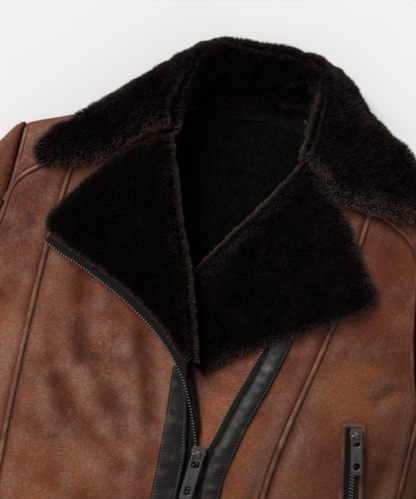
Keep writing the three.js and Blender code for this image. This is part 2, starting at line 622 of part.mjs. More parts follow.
// A flat strip that follows a line over a height field, between two distances to the side of the line
function strip(name, line, height, reach, lift, thickness, look) {
  const loops = line.map((p, k) => {
    const ahead = line[Math.min(k + 1, line.length - 1)].clone().sub(line[Math.max(k - 1, 0)]);
    const sideways = vec(ahead.y, -ahead.x).normalize();
    const [from, to] = reach;
    const at = (distance, extra) => {
      const q = p.clone().addScaledVector(sideways, distance);
      return vec(q.x, q.y, height(q.x, q.y) + lift + extra);
    };
    return [at(from, 0), at(to, 0), at(to, thickness), at(from, thickness)];
  });
  return loftMesh(name, loops, look);
}

const between = (line, start, end) => {
  const curve = new THREE.CatmullRomCurve3(line, false, 'centripetal');
  const steps = line.length;
  return spread(steps, (t) => curve.getPointAt(THREE.MathUtils.lerp(start, end, t)));
};

// The part of each seam that its strip covers, in parts of the seam's length
const STRIP_SPANS = {
  princess: [0.03, 1], yoke: [0.06, 0.66], armhole: [0.09, 0.97], side_front: [0.025, 1],
};
const ARMHOLE_STRIP_REACH = { left: [-6, -1.5], right: [1.5, 6] };

function seamStrips(side) {
  const s = seams[side];
  const middle = [-STRIP_WIDTH / 2, STRIP_WIDTH / 2];
  const lines = {
    princess: [s.princess, middle],
    yoke: [s.yokeOuter, middle],
    armhole: [joinRows(s.armUpper, s.armMiddle), ARMHOLE_STRIP_REACH[side]],
    side_front: [s.seamB, middle],
  };
  return Object.entries(lines).map(([name, [line, reach]]) => {
    const covered = between(line, ...STRIP_SPANS[name]);
    return strip(`seam_${name}_${side}`, covered, frontHeight, reach, STRIP_LIFT, STRIP_HEIGHT, 'seam');
  });
}

// A flat strip between two edge lines, given as rows of [left x, left y, right x, right y]
function ribbon(name, rows, height, lift, thickness, look) {
  const lefts = pathThrough(rows.map(([x, y]) => [x, y]), 2 * (rows.length - 1));
  const rights = pathThrough(rows.map(([, , x, y]) => [x, y]), 2 * (rows.length - 1));
  const loops = lefts.map((left, k) => {
    const at = (q, extra) => vec(q.x, q.y, height(q.x, q.y) + lift + extra);
    return [at(left, 0), at(rights[k], 0), at(rights[k], thickness), at(left, thickness)];
  });
  return loftMesh(name, loops, look);
}

const LEFT_BAND = [
  [-10.5, -197, 1, -204], [-10.9, -211, 5, -212], [-9.7, -226, 9.6, -230], [-8.4, -251, 14, -254],
  [-7.6, -275, 17.6, -277], [-7, -302, 18, -302], [-7.5, -400, 18, -400], [-8, -514, 18, -514],
];
const RIGHT_BAND = [
  [78.6, -151.5, 101.5, -138.5], [68.5, -190, 90, -184], [57.9, -222, 75, -231], [46.6, -260, 66.5, -267],
  [41, -284, 61.5, -292], [41, -320, 61, -320], [41, -420, 61, -420], [41, -514, 61, -514],
];
const LEFT_TAPE = [
  [11.8, -228, 14, -227], [15.5, -250, 22.4, -250], [18, -266, 26.6, -265], [19.4, -279, 29.2, -279],
  [19.4, -320, 29.6, -320], [19.4, -514, 29.6, -514],
];
const RIGHT_TAPE = [
  [73.4, -154.5, 77.8, -152], [61, -194, 68, -190], [53, -218, 57.3, -222], [41.5, -260, 46, -260],
  [31, -281, 40.4, -284], [30.2, -320, 40.4, -320], [30.2, -514, 40.4, -514],
];
// The zip's toothed edge where the left front is turned back, from the tip of the lapel to the break point
const TURNED_ZIP = [
  [-163, -96], [-146, -104], [-124, -112.5], [-101, -123], [-78, -134.5], [-55, -148.6], [-37, -161.5],
  [-20, -177], [-9, -190],
];
const TURNED_TAPE_REACH = [-8.4, -0.8];
const TURNED_TAPE_STEPS = 14;

function mainZip() {
  const turned = pathThrough(TURNED_ZIP, TURNED_TAPE_STEPS);
  return [
    ribbon('band_left', LEFT_BAND, frontHeight, STRIP_LIFT, BAND_HEIGHT, 'band'),
    ribbon('band_right', RIGHT_BAND, rightHeight, STRIP_LIFT, BAND_HEIGHT, 'band'),
    ribbon('zip_tape_left', LEFT_TAPE, frontHeight, TAPE_BESIDE_EDGE, TAPE_HEIGHT, 'tape'),
    ribbon('zip_tape_right', RIGHT_TAPE, rightHeight, STRIP_LIFT, TAPE_HEIGHT, 'tape'),
    strip(
      'zip_tape_turned', turned, frontHeight, TURNED_TAPE_REACH, TURNED_TAPE_LIFT, TAPE_HEIGHT, 'tape',
    ),
  ];
}

const shapeOf = (points) => new THREE.Shape(points.map(([x, y]) => new THREE.Vector2(x, y)));
const boxShape = (x0, y0, x1, y1) => shapeOf([[x0, y0], [x1, y0], [x1, y1], [x0, y1]]);
const extruded = (shape, depth) => new THREE.ExtrudeGeometry(shape, { depth, bevelEnabled: false });

const WELD = 1e-3;

// The same geometry with only its places, and each place once
function welded(geometry) {
  geometry.deleteAttribute('normal');
  geometry.deleteAttribute('uv');
  return mergeVertices(geometry, WELD);
}

function solidMesh(name, geometry, look) {
  const merged = welded(geometry);
  return namedMesh(name, [...merged.attributes.position.array], [...merged.index.array], look);
}

// Lays a flat geometry, drawn along the pocket's own axis, on the front
function layOnPocket(geometry) {
  const yaw = THREE.MathUtils.degToRad(POCKET.yaw);
  geometry.rotateZ(yaw).translate(POCKET.x, POCKET.y, 0);
  const places = geometry.attributes.position;
  for (let k = 0; k < places.count; k += 1) {
    places.setZ(k, places.getZ(k) + frontHeight(places.getX(k), places.getY(k)) + PANEL_LIFT);
  }
  return geometry;
}

function pocket() {
  const half = POCKET.width / 2;
  const inner = half - POCKET.welt;
  const welt = boxShape(-half, -POCKET.length, half, 0);
  welt.holes.push(boxShape(-inner, -POCKET.length + POCKET.welt, inner, -POCKET.welt));
  const tapeHalf = inner - POCKET_TAPE_MARGIN;
  const tapeEnd = POCKET.welt + POCKET_TAPE_MARGIN;
  const tape = boxShape(-tapeHalf, -POCKET.length + tapeEnd, tapeHalf, -tapeEnd);
  return [
    solidMesh('pocket_welt', layOnPocket(extruded(welt, POCKET.height)), 'seam'),
    solidMesh('pocket_tape', layOnPocket(extruded(tape, TAPE_HEIGHT)), 'tape'),
  ];
}

const wasm = await Module();
wasm.setup();

function toManifold(geometry) {
  const merged = welded(geometry);
  return new wasm.Manifold(new wasm.Mesh({
    numProp: 3,
    vertProperties: new Float32Array(merged.attributes.position.array),
    triVerts: new Uint32Array(merged.index.array),
  }));
}

function fromManifold(name, solid, look) {
  const { vertProperties, triVerts } = solid.getMesh();
  return namedMesh(name, [...vertProperties], [...triVerts], look);
}

// Slider body with the bail that holds the pull's bar; the bar's axis is x, at the body's own origin
function sliderSolid({ length, topWidth, endWidth, height }) {
  const nose = topWidth * SLIDER_NOSE_SHARE;
  const plan = shapeOf([
    [-endWidth / 2, -length / 2], [endWidth / 2, -length / 2], [topWidth / 2, length / 6],
    [nose / 2, length / 2], [-nose / 2, length / 2], [-topWidth / 2, length / 6],
  ]);
  const body = extruded(plan, height).translate(0, 0, -BAIL.inner - height);
  const { inner, foot, corner } = BAIL;
  const reach = inner + BAIL.thickness;
  const side = shapeOf([
    [-reach, -inner - foot], [-inner, -inner - foot], [-inner, inner], [inner, inner],
    [inner, -inner - foot], [reach, -inner - foot], [reach, inner + corner], [inner, reach],
    [-inner, reach], [-reach, inner + corner],
  ]);
  const bail = extruded(side, BAIL.width)
    .translate(0, 0, -BAIL.width / 2).rotateX(Math.PI / 2).rotateZ(Math.PI / 2);
  return toManifold(body).add(toManifold(bail));
}

// Pull tab lying towards -y from its bar, with the slot that clears the bail and a hole near its free end
function pullSolid({ width, length, slot, slotEnd, holeFrom, holeTo, holeWidth }) {
  const half = width / 2;
  const tab = shapeOf([
    [-half, -length + PULL_CORNER], [-half + PULL_CORNER, -length], [half - PULL_CORNER, -length],
    [half, -length + PULL_CORNER], [half, PULL_BAR], [-half, PULL_BAR],
  ]);
  tab.holes.push(boxShape(-slot / 2, -slotEnd, slot / 2, -PULL_BAR));
  tab.holes.push(boxShape(-holeWidth / 2, -holeTo, holeWidth / 2, -holeFrom));
  return toManifold(extruded(tab, PULL_THICKNESS).translate(0, 0, -PULL_THICKNESS / 2));
}

function sliderAndPull(name, spec) {
  const axisZ = frontHeight(spec.x, spec.y) + spec.lift + spec.height + BAIL.inner;
  const parts = [
    [`${name}_slider`, sliderSolid(spec), spec.yaw],
    [`${name}_pull`, pullSolid(spec.pull), spec.pullYaw],
  ];
  return parts.map(([part, solid, yaw]) => {
    const mesh = fromManifold(part, solid, 'metal');
    mesh.position.set(spec.x, spec.y, axisZ);
    mesh.rotation.z = THREE.MathUtils.degToRad(yaw);
    return mesh;
  });
}

function hangerLoop() {
  const { from, to, width, thickness, steps } = HANGER_LOOP;
  const line = straight(vec(...from), vec(...to), steps);
  const reach = [-width / 2, width / 2];
  const liningHeight = (x, y) => backHeight(x, y) + BACK_WALL;
  return strip('hanger_loop', line, liningHeight, reach, STRIP_LIFT, thickness, 'band');
}

const group = new THREE.Group();
const meshes = [
  ...frontPanels('left'), ...frontPanels('right'), backPanel(), lapel('left'), lapel('right'), collar(),
  ...sleeve('left'), ...sleeve('right'), ...seamStrips('left'), ...seamStrips('right'),
  ...mainZip(), ...pocket(), ...sliderAndPull('zip', MAIN_SLIDER),
  ...sliderAndPull('pocket', POCKET_SLIDER), hangerLoop(),
];
meshes.forEach((mesh) => group.add(mesh));
// The origin is the middle of the box, on the floor
const box = new THREE.Box3().setFromObject(group);
const middle = box.getCenter(new THREE.Vector3());
group.position.set(-middle.x, -middle.y, -box.min.z);
export default group;
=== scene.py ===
"""A shearling jacket laid on its back on a pale floor: brown leather outside, dark fur on the collar, the
lapels and the lining, and an open zip that crosses the front. Tables are in millimetres in the jacket's own
axes: x to the right as one looks down on it, y towards the collar, z up."""
import math

import bmesh
import bpy
import numpy as np
from mathutils import Matrix, Vector


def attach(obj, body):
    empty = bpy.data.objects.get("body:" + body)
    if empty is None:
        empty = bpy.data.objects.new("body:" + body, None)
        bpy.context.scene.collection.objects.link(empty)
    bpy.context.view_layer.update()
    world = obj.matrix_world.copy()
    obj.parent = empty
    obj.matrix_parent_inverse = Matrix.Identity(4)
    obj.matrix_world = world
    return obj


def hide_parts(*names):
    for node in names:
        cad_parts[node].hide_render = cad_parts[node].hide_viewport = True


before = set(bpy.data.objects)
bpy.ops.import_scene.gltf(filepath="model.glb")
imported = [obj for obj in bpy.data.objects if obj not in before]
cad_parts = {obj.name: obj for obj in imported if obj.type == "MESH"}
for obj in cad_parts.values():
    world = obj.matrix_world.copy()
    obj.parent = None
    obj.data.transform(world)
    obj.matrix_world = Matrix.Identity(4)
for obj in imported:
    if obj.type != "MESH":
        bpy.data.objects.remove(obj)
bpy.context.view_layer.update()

MM = 0.001
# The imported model's origin in the jacket's own axes
ORIGIN_Y = -207.499

# Walls and levels
BODY_WALL = 6
BACK_WALL = 8
FUR_WALL = 10
LAY_GAP = 3
HEM_Y = -515
EDGE_Z = 20
SEAM_HALF_GAP = 0.3
SHOULDER_ROUNDING = 70
UNDERARM_Y = -218
SEAM_B_TOP_Y = -185
PRINCESS_TOP_Y = -2
YOKE_END_Y = {"left": -72, "right": -52}
ROLL_SETBACK = 10.3
SIGN = {"left": -1, "right": 1}


# Curves and tables

def hermite(a, slope_a, b, slope_b, t):
    """A cubic from a to b with the given slopes at its ends, at t from 0 to 1."""
    return ((2 * t**3 - 3 * t**2 + 1) * a + (t**3 - 2 * t**2 + t) * slope_a
            + (3 * t**2 - 2 * t**3) * b + (t**3 - t**2) * slope_b)


def smooth_table(rows):
    """A smooth value through rows of (place, value): each slope is that of the chord between the rows on
    either side."""
    places, values = np.array(rows, float).T
    low = np.maximum(np.arange(len(rows)) - 1, 0)
    high = np.minimum(np.arange(len(rows)) + 1, len(rows) - 1)
    slopes = (values[high] - values[low]) / (places[high] - places[low])

    def value(place):
        at = np.clip(place, places[0], places[-1])
        k = np.clip(np.searchsorted(places, at, side="right") - 1, 0, len(rows) - 2)
        span = places[k + 1] - places[k]
        t = (at - places[k]) / span
        return hermite(values[k], slopes[k] * span, values[k + 1], slopes[k + 1] * span, t)

    return value


def curve(points, t):
    """Points at t, from 0 to 1 by row number, on a smooth curve through the rows."""
    points = np.asarray(points, float)
    last = len(points) - 1
    order = np.arange(last + 1)
    slopes = (points[np.minimum(order + 1, last)] - points[np.maximum(order - 1, 0)]) / 2
    at = np.clip(np.asarray(t, float) * last, 0, last)
    k = np.minimum(at.astype(int), last - 1)
    part = (at - k).reshape(at.shape + (1,) * (points.ndim - 1))
    return hermite(points[k], slopes[k], points[k + 1], slopes[k + 1], part)


def read_line(at, places, line):
    """Points at given places along a line of points, whose own places are given too."""
    return np.stack([np.interp(at, places, line[:, k]) for k in range(line.shape[1])], -1)


def evenly(points, count):
    """count + 1 points at even distances along a smooth curve through the rows."""
    fine = curve(points, np.linspace(0, 1, 12 * len(points)))
    far = np.concatenate([[0], np.cumsum(np.linalg.norm(np.diff(fine, axis=0), axis=1))])
    return read_line(np.linspace(0, far[-1], count + 1), far, fine)


def thinned(row, count):
    """count + 1 points in even steps along a dense row."""
    return read_line(np.linspace(0, len(row) - 1, count + 1), np.arange(len(row)), row)


def length_of(line):
    """Length of a line of points."""
    return np.linalg.norm(np.diff(line, axis=0), axis=1).sum()


def unit(vectors):
    """The vectors at length one. A zero vector stays zero."""
    return vectors / np.maximum(np.linalg.norm(vectors, axis=-1, keepdims=True), 1e-9)


def ease(t):
    """0 to 1 with level ends."""
    t = np.clip(t, 0, 1)
    return t * t * (3 - 2 * t)


LATTICE = (61, 67)
LATTICE_START = (31.7, 27.3)


def wander(x, y, size, seed):
    """An uneven smooth value from -1 to 1: random numbers on a square lattice, eased between its
    corners."""
    corners = np.random.default_rng(seed).uniform(-1, 1, LATTICE)
    u, v = x / size + LATTICE_START[0], y / size + LATTICE_START[1]
    i, j = np.floor(u).astype(int), np.floor(v).astype(int)
    s, t = ease(u - i), ease(v - j)

    def at(a, b):
        return corners[(i + a) % LATTICE[0], (j + b) % LATTICE[1]]

    return (at(0, 0) * (1 - s) + at(1, 0) * s) * (1 - t) + (at(0, 1) * (1 - s) + at(1, 1) * s) * t


def beside(x, y, line):
    """Distance from each place to a line of points, and how far along the line the nearest point is, 0 to
    1."""
    line = np.asarray(line, float)
    start, step = line[:-1], np.diff(line, axis=0)
    away = np.stack([x, y], -1)[..., None, :] - start
    along = np.clip((away * step).sum(-1) / (step**2).sum(-1), 0, 1)
    gap = np.linalg.norm(away - along[..., None] * step, axis=-1)
    nearest = gap.argmin(-1)

    def take(values):
        return np.take_along_axis(values, nearest[..., None], -1)[..., 0]

    return take(gap), (nearest + take(along)) / len(step)


# The jacket's shape as it lies

half_width = smooth_table([(-515, 252), (-330, 258), (-215, 262), (-150, 254), (-72, 246), (12, 240),
                           (40, 236)])
crown = smooth_table([(-515, 42), (-400, 49), (-250, 55), (-100, 56), (20, 54)])
shoulder_line = smooth_table([(0, 80), (74, 70), (122, 54), (173, 34), (211, 18), (225, 6)])
armhole_x = smooth_table([(UNDERARM_Y, float(half_width(UNDERARM_Y))), (-185, 241), (-130, 224), (-72, 214),
                          (-30, 210.5), (18, 210)])
seam_b_x = smooth_table([(HEM_Y, 232), (-275, 238), (SEAM_B_TOP_Y, 241)])
princess_x = {
    "left": smooth_table([(HEM_Y, 158), (-320, 162), (-228, 163), (-97, 160), (-42, 155), (-2, 151)]),
    "right": smooth_table([(HEM_Y, 92), (-303, 103), (-241, 111), (-161, 128), (-124, 135), (-34, 146),
                           (-2, 149)]),
}
underlap_zip = smooth_table([(HEM_Y, 33), (-273, 34), (-218, 53), (-157, 72), (40, 72)])
underlap_depth = smooth_table([(HEM_Y, 9.5), (-262, 10), (-230, 15), (-195, 22), (-60, 22), (0, 12), (50, 0)])
underlap_span = smooth_table([(HEM_Y, 60), (-262, 60), (-195, 82), (40, 85)])


def front_height(x, y):
    """Height of the front's outer face: from the side edges it rises steeply, then lies nearly level."""
    across = np.minimum(np.abs(x) / (half_width(y) - 0.1), 1)
    near_shoulder = np.clip((shoulder_line(np.abs(x)) - y) / SHOULDER_ROUNDING, 0, 1)
    rounding = np.sqrt(1 - across**5) * np.sqrt(1 - (1 - near_shoulder) ** 3)
    return EDGE_Z + (crown(y) - EDGE_Z) * rounding


def right_height(x, y):
    """The right front slopes down to the left, to pass under the left front."""
    slope = ease((28 - (x - underlap_zip(y))) / underlap_span(y))
    fade = ease((princess_x["right"](y) - x) / 12)
    return front_height(x, y) - fade * underlap_depth(y) * slope


def back_height(x, y):
    """Height of the back's outer face: flat on the floor, rounded up to the sides and the shoulders."""
    across = np.clip((np.abs(x) / (half_width(y) - 0.1) - 0.8) / 0.2, 0, 1)
    on_shoulder = ease((np.abs(x) - 60) / 14)
    near_shoulder = np.clip(1 - (shoulder_line(np.abs(x)) - y) / 26, 0, 1) * on_shoulder
    turn = np.minimum(np.hypot(across, near_shoulder), 1)
    return EDGE_Z * (1 - np.sqrt(1 - turn**3))


HEIGHT = {"left": front_height, "right": right_height}

# Roll line and outer edge of each lapel, and how high its roll stands: roll x, roll y, edge x, edge y, rise
LAPELS = {
    "left": [(-61, 34, -118, -6, 21), (-58.6, 23, -134, -27, 20), (-48, -7, -150, -48, 19),
             (-32, -55, -167, -78, 18), (-17, -92, -140, -95, 17), (-5, -130, -81, -120, 16),
             (5, -164, -33, -151, 14), (10, -183, -8, -178, 13)],
    "right": [(73, 33, 118, -6, 18), (63, 16, 130, -18, 17), (49, -8, 145, -40, 16),
              (28, -39, 160, -62, 15), (10, -65, 174, -82, 13), (-5, -88, 166, -97, 12),
              (-14, -103, 134, -117, 11.5), (-24, -124, 92, -142, 11), (-30, -146, 56, -165, 10.5),
              (-32, -170, 22, -194, 10.5)],
}
ZIP_EDGE = {
    "left": [(5.9, -208), (11.9, -231.6), (18.5, -277), (18.7, -330), (18.7, -420), (18.7, HEM_Y)],
    "right": [(-28, -205), (-26, -260), (-24, -330), (-22, -420), (-20, HEM_Y)],
}
YOKE_OUTER = {
    "left": [(-151, -2), (-170, -13), (-198, -35), (-208, -53), (-214, -72)],
    "right": [(149, -2), (164, -3), (191, -18), (204, -32), (212.5, -52)],
}
NECKLINE_TOP_X = {"left": 74, "right": 87}
NECKLINE_MIDDLE = {"left": (-71.5, 52), "right": (84.5, 50)}
BACK_NECK = [(-74, 70), (-57, 73), (-23, 79.5), (16, 84.5), (48, 85.5), (72, 80), (87, 66)]
# Soft troughs in the leather: half width, depth, and the line, longest first
FOLDS = {
    "left": [
        (10, 3.4, [(-121, -112), (-112, -150), (-105, -185), (-97, -215)]),
        (10, 3.4, [(-128, -218), (-110, -250), (-85, -276), (-56, -294), (-36, -316)]),
        (9, 3.2, [(-52, -150), (-38, -195), (-24, -235), (-18, -268)]),
        (9, 2.8, [(-92, -196), (-70, -232), (-50, -262), (-36, -290)]),
        (12, 2.6, [(-196, -150), (-204, -212), (-214, -270)]),
        (13, 2.8, [(-60, -330), (-90, -392), (-92, -450)]),
        (12, 2.2, [(-200, -330), (-188, -400), (-196, -470)]),
    ],
    "right": [
        (7, 1.8, [(193, -190), (204, -177), (214, -170)]),
        (10, 2.6, [(118, -215), (104, -285), (98, -340)]),
        (12, 2.4, [(140, -330), (132, -400), (142, -468)]),
        (12, 2.2, [(222, -240), (206, -310), (212, -380)]),
        (9, 1.8, [(64, -380), (72, -430), (66, -480)]),
    ],
}


def folded(x, y, folds):
    """Depth of soft uneven troughs along lines, and how much lighter their shoulders are: partly wear, partly
    a painted highlight.
    """
    low, rubbed_and_highlit = np.zeros_like(x), np.zeros_like(x)
    for width, depth, line in folds:
        gap, along = beside(x, y, curve(line, np.linspace(0, 1, 9)))
        reach = ease(1.6 * np.sin(math.pi * (0.05 + 0.9 * along))) * (1 + 0.25 * wander(x, y, 19, 5))
        low += depth * np.exp(-((gap / width) ** 2)) * reach
        rubbed_and_highlit += 0.25 * depth * np.exp(-(((gap - 1.7 * width) / width) ** 2)) * reach
    return low, rubbed_and_highlit


def relief(x, y, folds):
    """Low relief of the worn leather: its troughs, and a slight wander all over."""
    low, _ = folded(x, y, folds)
    return -1.9 * low + 0.8 * wander(x, y, 62, 2) + 0.5 * wander(x, y, 30, 3) + 0.25 * wander(x, y, 13, 4)


def store(piece, name, values):
    """Keeps a number from 0 to 1 at each point of a piece, for its material to read."""
    numbers = np.clip(values, 0, 1).astype(np.float32).ravel()
    piece.data.attributes.new(name, "FLOAT", "POINT").data.foreach_set("value", numbers)


def note_painted_shade_and_wear(piece, x, y, folds, gap):
    """Stores on a two-walled grid piece its painted shade, dark in its troughs and along its seams, and how
    much lighter it is beside them: partly wear, partly a painted highlight."""
    low, rubbed_and_highlit = folded(x, y, folds)
    # Painted shade: darker in the troughs of the folds and in a narrow band along the seams.
    painted_shade = 0.12 * low + 0.9 * np.exp(-((gap / 4.5) ** 2))
    store(piece, "painted_shade", np.concatenate([painted_shade, painted_shade]))
    # Lighter on the shoulders of the folds and in a band about 13 mm in from the seams: partly wear, partly a
    # painted highlight.
    worn = 0.7 * rubbed_and_highlit + 0.55 * np.exp(-(((gap - 13) / 6) ** 2))
    store(piece, "rubbed_and_highlit", np.concatenate([worn, worn]))


# Mesh making

def in_scene(name, data):
    """A new object in the scene."""
    item = bpy.data.objects.new(name, data)
    bpy.context.scene.collection.objects.link(item)
    return item


def make_mesh(name, points, faces, looks, face_looks=None, sharp=50):
    """One mesh piece from points in the jacket's millimetres and faces with equal numbers of corners."""
    mesh = bpy.data.meshes.new(name)
    count, corners = faces.shape
    placed = (points - np.array([0, ORIGIN_Y, 0])) * MM
    mesh.vertices.add(len(points))
    mesh.vertices.foreach_set("co", placed.astype(np.float32).ravel())
    mesh.loops.add(faces.size)
    mesh.loops.foreach_set("vertex_index", faces.astype(np.int32).ravel())
    mesh.polygons.add(count)
    mesh.polygons.foreach_set("loop_start", np.arange(0, faces.size, corners, dtype=np.int32))
    mesh.polygons.foreach_set("use_smooth", np.ones(count, bool))
    for look in looks:
        mesh.materials.append(look)
    if face_looks is not None:
        mesh.polygons.foreach_set("material_index", face_looks.astype(np.int32))
    mesh.update(calc_edges=True)
    mesh.set_sharp_from_angle(angle=math.radians(sharp))
    return in_scene(name, mesh)


def volume(points, faces):
    """Signed volume inside the faces, each cut into a fan from its first corner."""
    total = 0
    for k in range(1, faces.shape[1] - 1):
        a, b, c = points[faces[:, 0]], points[faces[:, k]], points[faces[:, k + 1]]
        total += (a * np.cross(b, c)).sum()
    return total


def outward(points, faces):
    """The faces of a closed solid, turned to look out of it."""
    return faces[:, ::-1] if volume(points, faces) < 0 else faces


def copies(faces, corners, count):
    """The triangles of one small shape with so many corners, for each of its copies."""
    return (corners * np.arange(count)[:, None, None] + faces).reshape(-1, 3)


def grid_faces(rows, columns, closed=False):
    """Four-cornered faces between neighbours of a grid; closed joins its last column to its first."""
    ids = np.arange(rows * columns).reshape(rows, columns)
    right = np.roll(ids, -1, 1) if closed else ids[:, 1:]
    left = ids if closed else ids[:, :-1]
    return np.stack([left[:-1], left[1:], right[1:], right[:-1]], -1).reshape(-1, 4)


def wall(name, outer, inner, looks):
    """A closed wall: an outer grid, a matching inner grid, and faces that join their borders. The inner
    grid has the last look."""
    rows, columns = outer.shape[:2]
    ids = np.arange(rows * columns).reshape(rows, columns)
    face = grid_faces(rows, columns)
    ring = np.concatenate([ids[0, :-1], ids[:-1, -1], ids[-1, :0:-1], ids[:0:-1, 0]])
    ahead = np.roll(ring, -1)
    under = ids.size
    sides = np.stack([ring, ahead, ahead + under, ring + under], -1)
    faces = np.concatenate([face, face[:, ::-1] + under, sides])
    points = np.concatenate([outer.reshape(-1, 3), inner.reshape(-1, 3)])
    face_looks = np.repeat([0, len(looks) - 1, 0], [len(face), len(face), len(sides)])
    return make_mesh(name, points, outward(points, faces), looks, face_looks)


def loft(name, loops, looks):
    """A closed bar through a stack of closed loops of points, with a fan over each end."""
    rows, columns = loops.shape[:2]
    sides = grid_faces(rows, columns, closed=True)
    points = np.concatenate([loops.reshape(-1, 3), loops[0].mean(0)[None], loops[-1].mean(0)[None]])
    order = np.arange(columns)
    ahead = np.roll(order, -1)
    last = (rows - 1) * columns
    middle = rows * columns
    start_cap = np.stack([order, ahead, np.full(columns, middle)], -1)
    end_cap = np.stack([last + ahead, last + order, np.full(columns, middle + 1)], -1)
    triangles = np.concatenate([sides[:, [0, 1, 2]], sides[:, [0, 2, 3]], start_cap, end_cap])
    return make_mesh(name, points, outward(points, triangles), looks)


def place(piece, nodes=(), body="jacket"):
    """The piece rides on a body and stands for the CAD nodes named."""
    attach(piece, body)
    if nodes:
        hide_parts(*nodes)
    return piece


def grid_normals(grid):
    """Unit normals of a grid of points, from the steps between its neighbours."""
    along = np.gradient(grid, axis=0)
    across = np.gradient(grid, axis=1)
    return unit(np.cross(along, across))


def upward(normals):
    """The normals, turned to look up on the whole."""
    return normals if normals[..., 2].mean() > 0 else -normals


def net(left, right, top, bottom):
    """Points between four edge rows that share corners: the blend of both pairs of edges, less that of the
    corners."""
    u = np.linspace(0, 1, len(left))[:, None, None]
    v = np.linspace(0, 1, len(top))[None, :, None]
    sides = left[:, None] * (1 - v) + right[:, None] * v
    ends = top[None] * (1 - u) + bottom[None] * u
    start = (1 - u) * (1 - v) * left[0] + (1 - u) * v * right[0]
    corners = start + u * (1 - v) * left[-1] + u * v * right[-1]
    return sides + ends - corners


def border_gap(grid):
    """Distance of each grid point from the nearest of the grid's four borders, along the grid's own
    lines."""
    def run(axis):
        step = np.linalg.norm(np.diff(grid, axis=axis), axis=-1)
        far = np.concatenate([np.zeros_like(step.take([0], axis)), np.cumsum(step, axis)], axis)
        return far, far.take([-1], axis) - far

    (top, bottom), (left, right) = run(0), run(1)
    return top, bottom, left, right


def bend_edges(plan):
    """Regrids a net so that its outermost rows lie close to its border, at set hundredths of its width."""
    for axis, count in enumerate(plan.shape[:2]):
        near = np.concatenate([[0, 0.7, 2], np.linspace(4.5, 95.5, count - 6), [98, 99.3, 100]]) / 100
        at = np.linspace(0, 1, count)
        lines = np.moveaxis(plan, axis, 0)
        redrawn = [read_line(near, at, lines[:, k]) for k in range(lines.shape[1])]
        plan = np.moveaxis(np.stack(redrawn, 1), 0, axis)
    return plan


EDGE_ROLL = 6.5
EDGE_DROP = 2.2
SLOPE_STEP = 0.5
# A point this near to the level where front and back meet is on their shared rim
RIM_BAND = 0.6


def panel(name, plan, height, thick, up, looks, folds=()):
    """A panel of cloth: its plan net laid on a height field, its borders rolled into their seams, and its
    wall on the inner side, square to the height field."""
    plan = bend_edges(plan)
    x, y = plan[..., 0], plan[..., 1]
    slope_x = (height(x + SLOPE_STEP, y) - height(x - SLOPE_STEP, y)) / (2 * SLOPE_STEP)
    slope_y = (height(x, y + SLOPE_STEP) - height(x, y - SLOPE_STEP)) / (2 * SLOPE_STEP)
    z = height(x, y)
    on_rim = np.abs(z - EDGE_Z) < RIM_BAND
    normal = np.stack([-slope_x, -slope_y, np.where(on_rim, 0, 1)], -1)
    if not up:
        normal = -normal
    off_middle = np.stack([x - x.mean(), y - y.mean(), 0 * x], -1)
    normal = unit(np.where((np.linalg.norm(normal, axis=-1) < 1e-6)[..., None], off_middle, normal))
    gap = np.min(border_gap(plan), axis=0)
    drop = EDGE_DROP * (1 - np.clip(gap / EDGE_ROLL, 0, 1)) ** 2
    lift = relief(x, y, folds) * ease(gap / 12) - drop if up else -drop
    moved = plan + unit(plan.mean((0, 1)) - plan) * np.where(gap < 1e-6, SEAM_HALF_GAP, 0)[..., None]
    rim_z = EDGE_Z + (SEAM_HALF_GAP if up else -SEAM_HALF_GAP)
    at = np.concatenate([moved, np.where(on_rim, rim_z, z)[..., None]], -1)
    outer = at + normal * np.where(on_rim, -drop, lift)[..., None]
    inner = at + normal * (np.where(on_rim, 0, lift + drop) - thick)[..., None]
    piece = wall(name, outer, inner, looks)
    note_painted_shade_and_wear(piece, x, y, folds, gap)
    return place(piece, [name.replace("_shell", "")])


# Seam lines that neighbouring panels share

def fold_points(side):
    """Where each lapel section meets the front: a set distance in from the roll line."""
    rows = np.array(LAPELS[side], float)
    roll, edge = rows[:, :2], rows[:, 2:4]
    return roll + unit(edge - roll) * ROLL_SETBACK


def body_seams(side, steps=120):
    """The seam lines and edges of one side of the body, by name, each a dense row of plan points."""
    sign = SIGN[side]
    fold = fold_points(side)

    def mirrored(line, start, end, count):
        y = np.linspace(start, end, count + 1)
        return np.stack([sign * line(y), y], -1)

    yoke_end = YOKE_END_Y[side]
    arm_upper = mirrored(armhole_x, 18, yoke_end, 40)
    arm_middle = mirrored(armhole_x, yoke_end, SEAM_B_TOP_Y, 40)
    arm_lower = mirrored(armhole_x, SEAM_B_TOP_Y, UNDERARM_Y, 12)
    seam_b = mirrored(seam_b_x, SEAM_B_TOP_Y, HEM_Y, 80)
    side_edge = mirrored(half_width, UNDERARM_Y, HEM_Y, 80)
    princess = mirrored(princess_x[side], PRINCESS_TOP_Y, HEM_Y, steps)
    yoke_outer = evenly([princess[0], *YOKE_OUTER[side][1:-1], arm_upper[-1]], 40)
    yoke_inner = evenly([fold[0], (sign * 105, 20), princess[0]], 40)
    across = np.linspace(NECKLINE_TOP_X[side], 210, 81)
    shoulder = np.stack([sign * across, shoulder_line(across)], -1)
    shoulder[-1] = arm_upper[0]
    return {
        "front_edge": evenly([*fold, *ZIP_EDGE[side]], steps),
        "princess": princess, "arm_upper": arm_upper, "arm_middle": arm_middle, "arm_lower": arm_lower,
        "seam_b": seam_b, "side_edge": side_edge, "yoke_outer": yoke_outer, "yoke_inner": yoke_inner,
        "shoulder": shoulder, "neckline": evenly([shoulder[0], NECKLINE_MIDDLE[side], fold[0]], 40),
    }


SEAMS = {side: body_seams(side) for side in SIGN}


def join(*rows):
    """One row of points from several that meet end to end."""
    return np.concatenate([rows[0], *[row[1:] for row in rows[1:]]])


